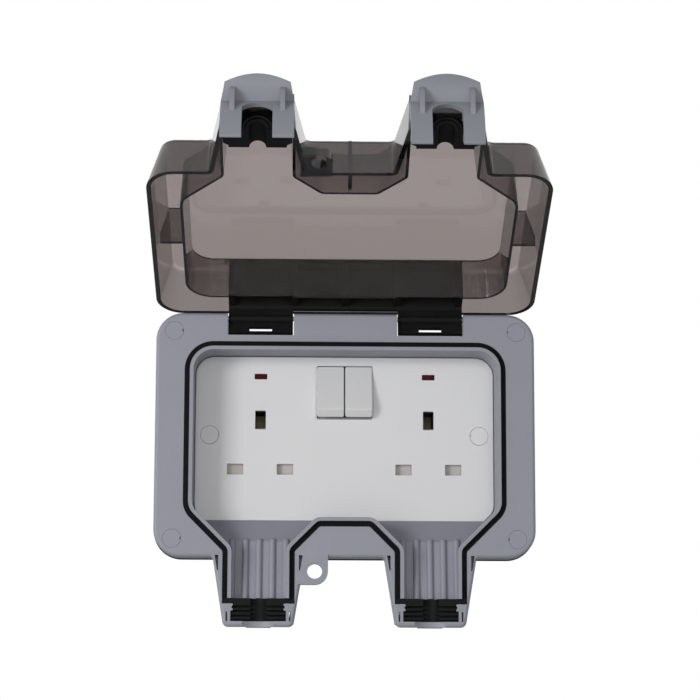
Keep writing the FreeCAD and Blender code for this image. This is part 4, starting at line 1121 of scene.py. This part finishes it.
@dataclass(frozen=True)
class Lamp:
    """Soft square lamp that looks at the socket.

    Attributes:
        name: Its name.
        place: Where it stands, in metres.
        size: Side of its square, in metres.
        watts: Its power.
        target: Where it looks, in metres.
    """

    name: str
    place: Triple
    size: float
    watts: float
    target: Triple = (0.0, -0.05, 0.03)

    def light(self) -> None:
        """Put the lamp in the scene."""
        data = bpy.data.lights.new(self.name, "AREA")
        data.size = self.size
        data.energy = self.watts
        lamp = bpy.data.objects.new(self.name, data)
        lamp.location = self.place
        lamp.rotation_euler = (Vector(self.target) - Vector(self.place)).to_track_quat("-Z", "Y").to_euler()
        bpy.context.scene.collection.objects.link(lamp)


@dataclass
class Studio:
    """Camera, lamps, floor and white surroundings.

    Attributes:
        eye: Place of the camera, in millimetres.
        yaw: Turn to the right, in degrees.
        pitch: Turn upwards, in degrees.
        roll: Turn about the line of sight, in degrees.
        focal_px: Focal length in pixels of a picture as wide as picture_px.
        picture_px: Width of that picture.
        sensor: Width of the camera's sensor, in millimetres.
        clip: Nearest and farthest distance that the camera sees, in metres.
        surrounding: Strength of the light of the white surroundings.
        floor_z: Height of the floor, in metres.
        floor_size: Side of the floor, in metres.
        lamps: The lamps.
    """

    eye: Triple = (-19.8, -1058.8, -127.8)
    yaw: float = 1.24
    pitch: float = 9.33
    roll: float = 0.176
    focal_px: float = 2304.5
    picture_px: float = 700.0
    sensor: float = 36.0
    clip: tuple[float, float] = (0.01, 20.0)
    surrounding: float = 0.27
    floor_z: float = -0.32
    floor_size: float = 6.0
    lamps: tuple[Lamp, ...] = (
        Lamp("key", (-0.92, -1.1, 0.08), 0.45, 9.0),
        Lamp("fill", (0.15, -1.8, -0.1), 0.9, 5.5))

    def camera(self) -> None:
        """Put the camera where the photograph was taken from."""
        yaw, pitch, roll = (math.radians(value) for value in (self.yaw, self.pitch, self.roll))
        ahead = Vector((math.sin(yaw) * math.cos(pitch), math.cos(yaw) * math.cos(pitch), math.sin(pitch)))
        right = ahead.cross(Vector((0, 0, 1))).normalized()
        up = right.cross(ahead)
        side = right * math.cos(roll) + up * math.sin(roll)
        top = up * math.cos(roll) - right * math.sin(roll)
        turn = Matrix((side, top, -ahead)).transposed().to_4x4()
        data = bpy.data.cameras.new("photo_camera")
        data.sensor_fit = "HORIZONTAL"
        data.sensor_width = self.sensor
        data.lens = self.focal_px / self.picture_px * self.sensor
        data.clip_start, data.clip_end = self.clip
        eye = bpy.data.objects.new("photo_camera", data)
        eye.matrix_world = Matrix.Translation(Vector(self.eye) * MM) @ turn
        bpy.context.scene.collection.objects.link(eye)
        bpy.context.scene.camera = eye

    def surroundings(self) -> None:
        """White world that the eye, mirrors and clear plastic see, and that lights more softly."""
        world = bpy.data.worlds.new("white_room")
        bpy.context.scene.world = world
        world.use_nodes = True
        graph = Graph(world.node_tree)
        camera, mirror, clear = (graph.node("ShaderNodeLightPath", output=f"Is {ray} Ray")
                                 for ray in ("Camera", "Glossy", "Transmission"))
        seen = graph.node("ShaderNodeMath", {"operation": "ADD", "use_clamp": True},
                          {0: camera + mirror, 1: clear})
        dim, bright = (graph.node("ShaderNodeBackground", None, {"Color": (1, 1, 1, 1), "Strength": level})
                       for level in (self.surrounding, 1.0))
        mixed = graph.node("ShaderNodeMixShader", None, {0: seen, 1: dim, 2: bright})
        graph.node("ShaderNodeOutputWorld", None, {"Surface": mixed})

    def floor(self) -> None:
        """Pale floor well below the socket."""
        bpy.ops.object.select_all(action="DESELECT")
        bpy.ops.mesh.primitive_plane_add(size=self.floor_size, location=(0, 0, self.floor_z))
        floor = bpy.context.object
        floor.name = "studio_floor"
        material = bpy.data.materials.new("pale_floor")
        material.use_nodes = True
        graph = Graph(material.node_tree)
        tone = graph.ramp(graph.noise(6.0), [(0.3, 0.80), (0.7, 0.84)])
        matt = graph.node("ShaderNodeBsdfPrincipled", None, {"Base Color": tone, "Roughness": 0.8})
        graph.surface(matt)
        floor.data.materials.append(material)

    def build(self) -> None:
        """Set the stage."""
        bpy.context.scene.view_settings.view_transform = "Standard"
        self.camera()
        self.surroundings()
        for lamp in self.lamps:
            lamp.light()
        self.floor()


def main() -> None:
    """Build every sub-assembly in order."""
    logging.basicConfig(level=logging.INFO, format="%(name)s: %(message)s")
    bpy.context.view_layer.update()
    for assembly in (Housing(), Faceplate(), Seals(), Lid(), Clips(), Studio()):
        assembly.build()
        log.info("built %s", type(assembly).__name__)


if __name__ == "__main__":
    main()
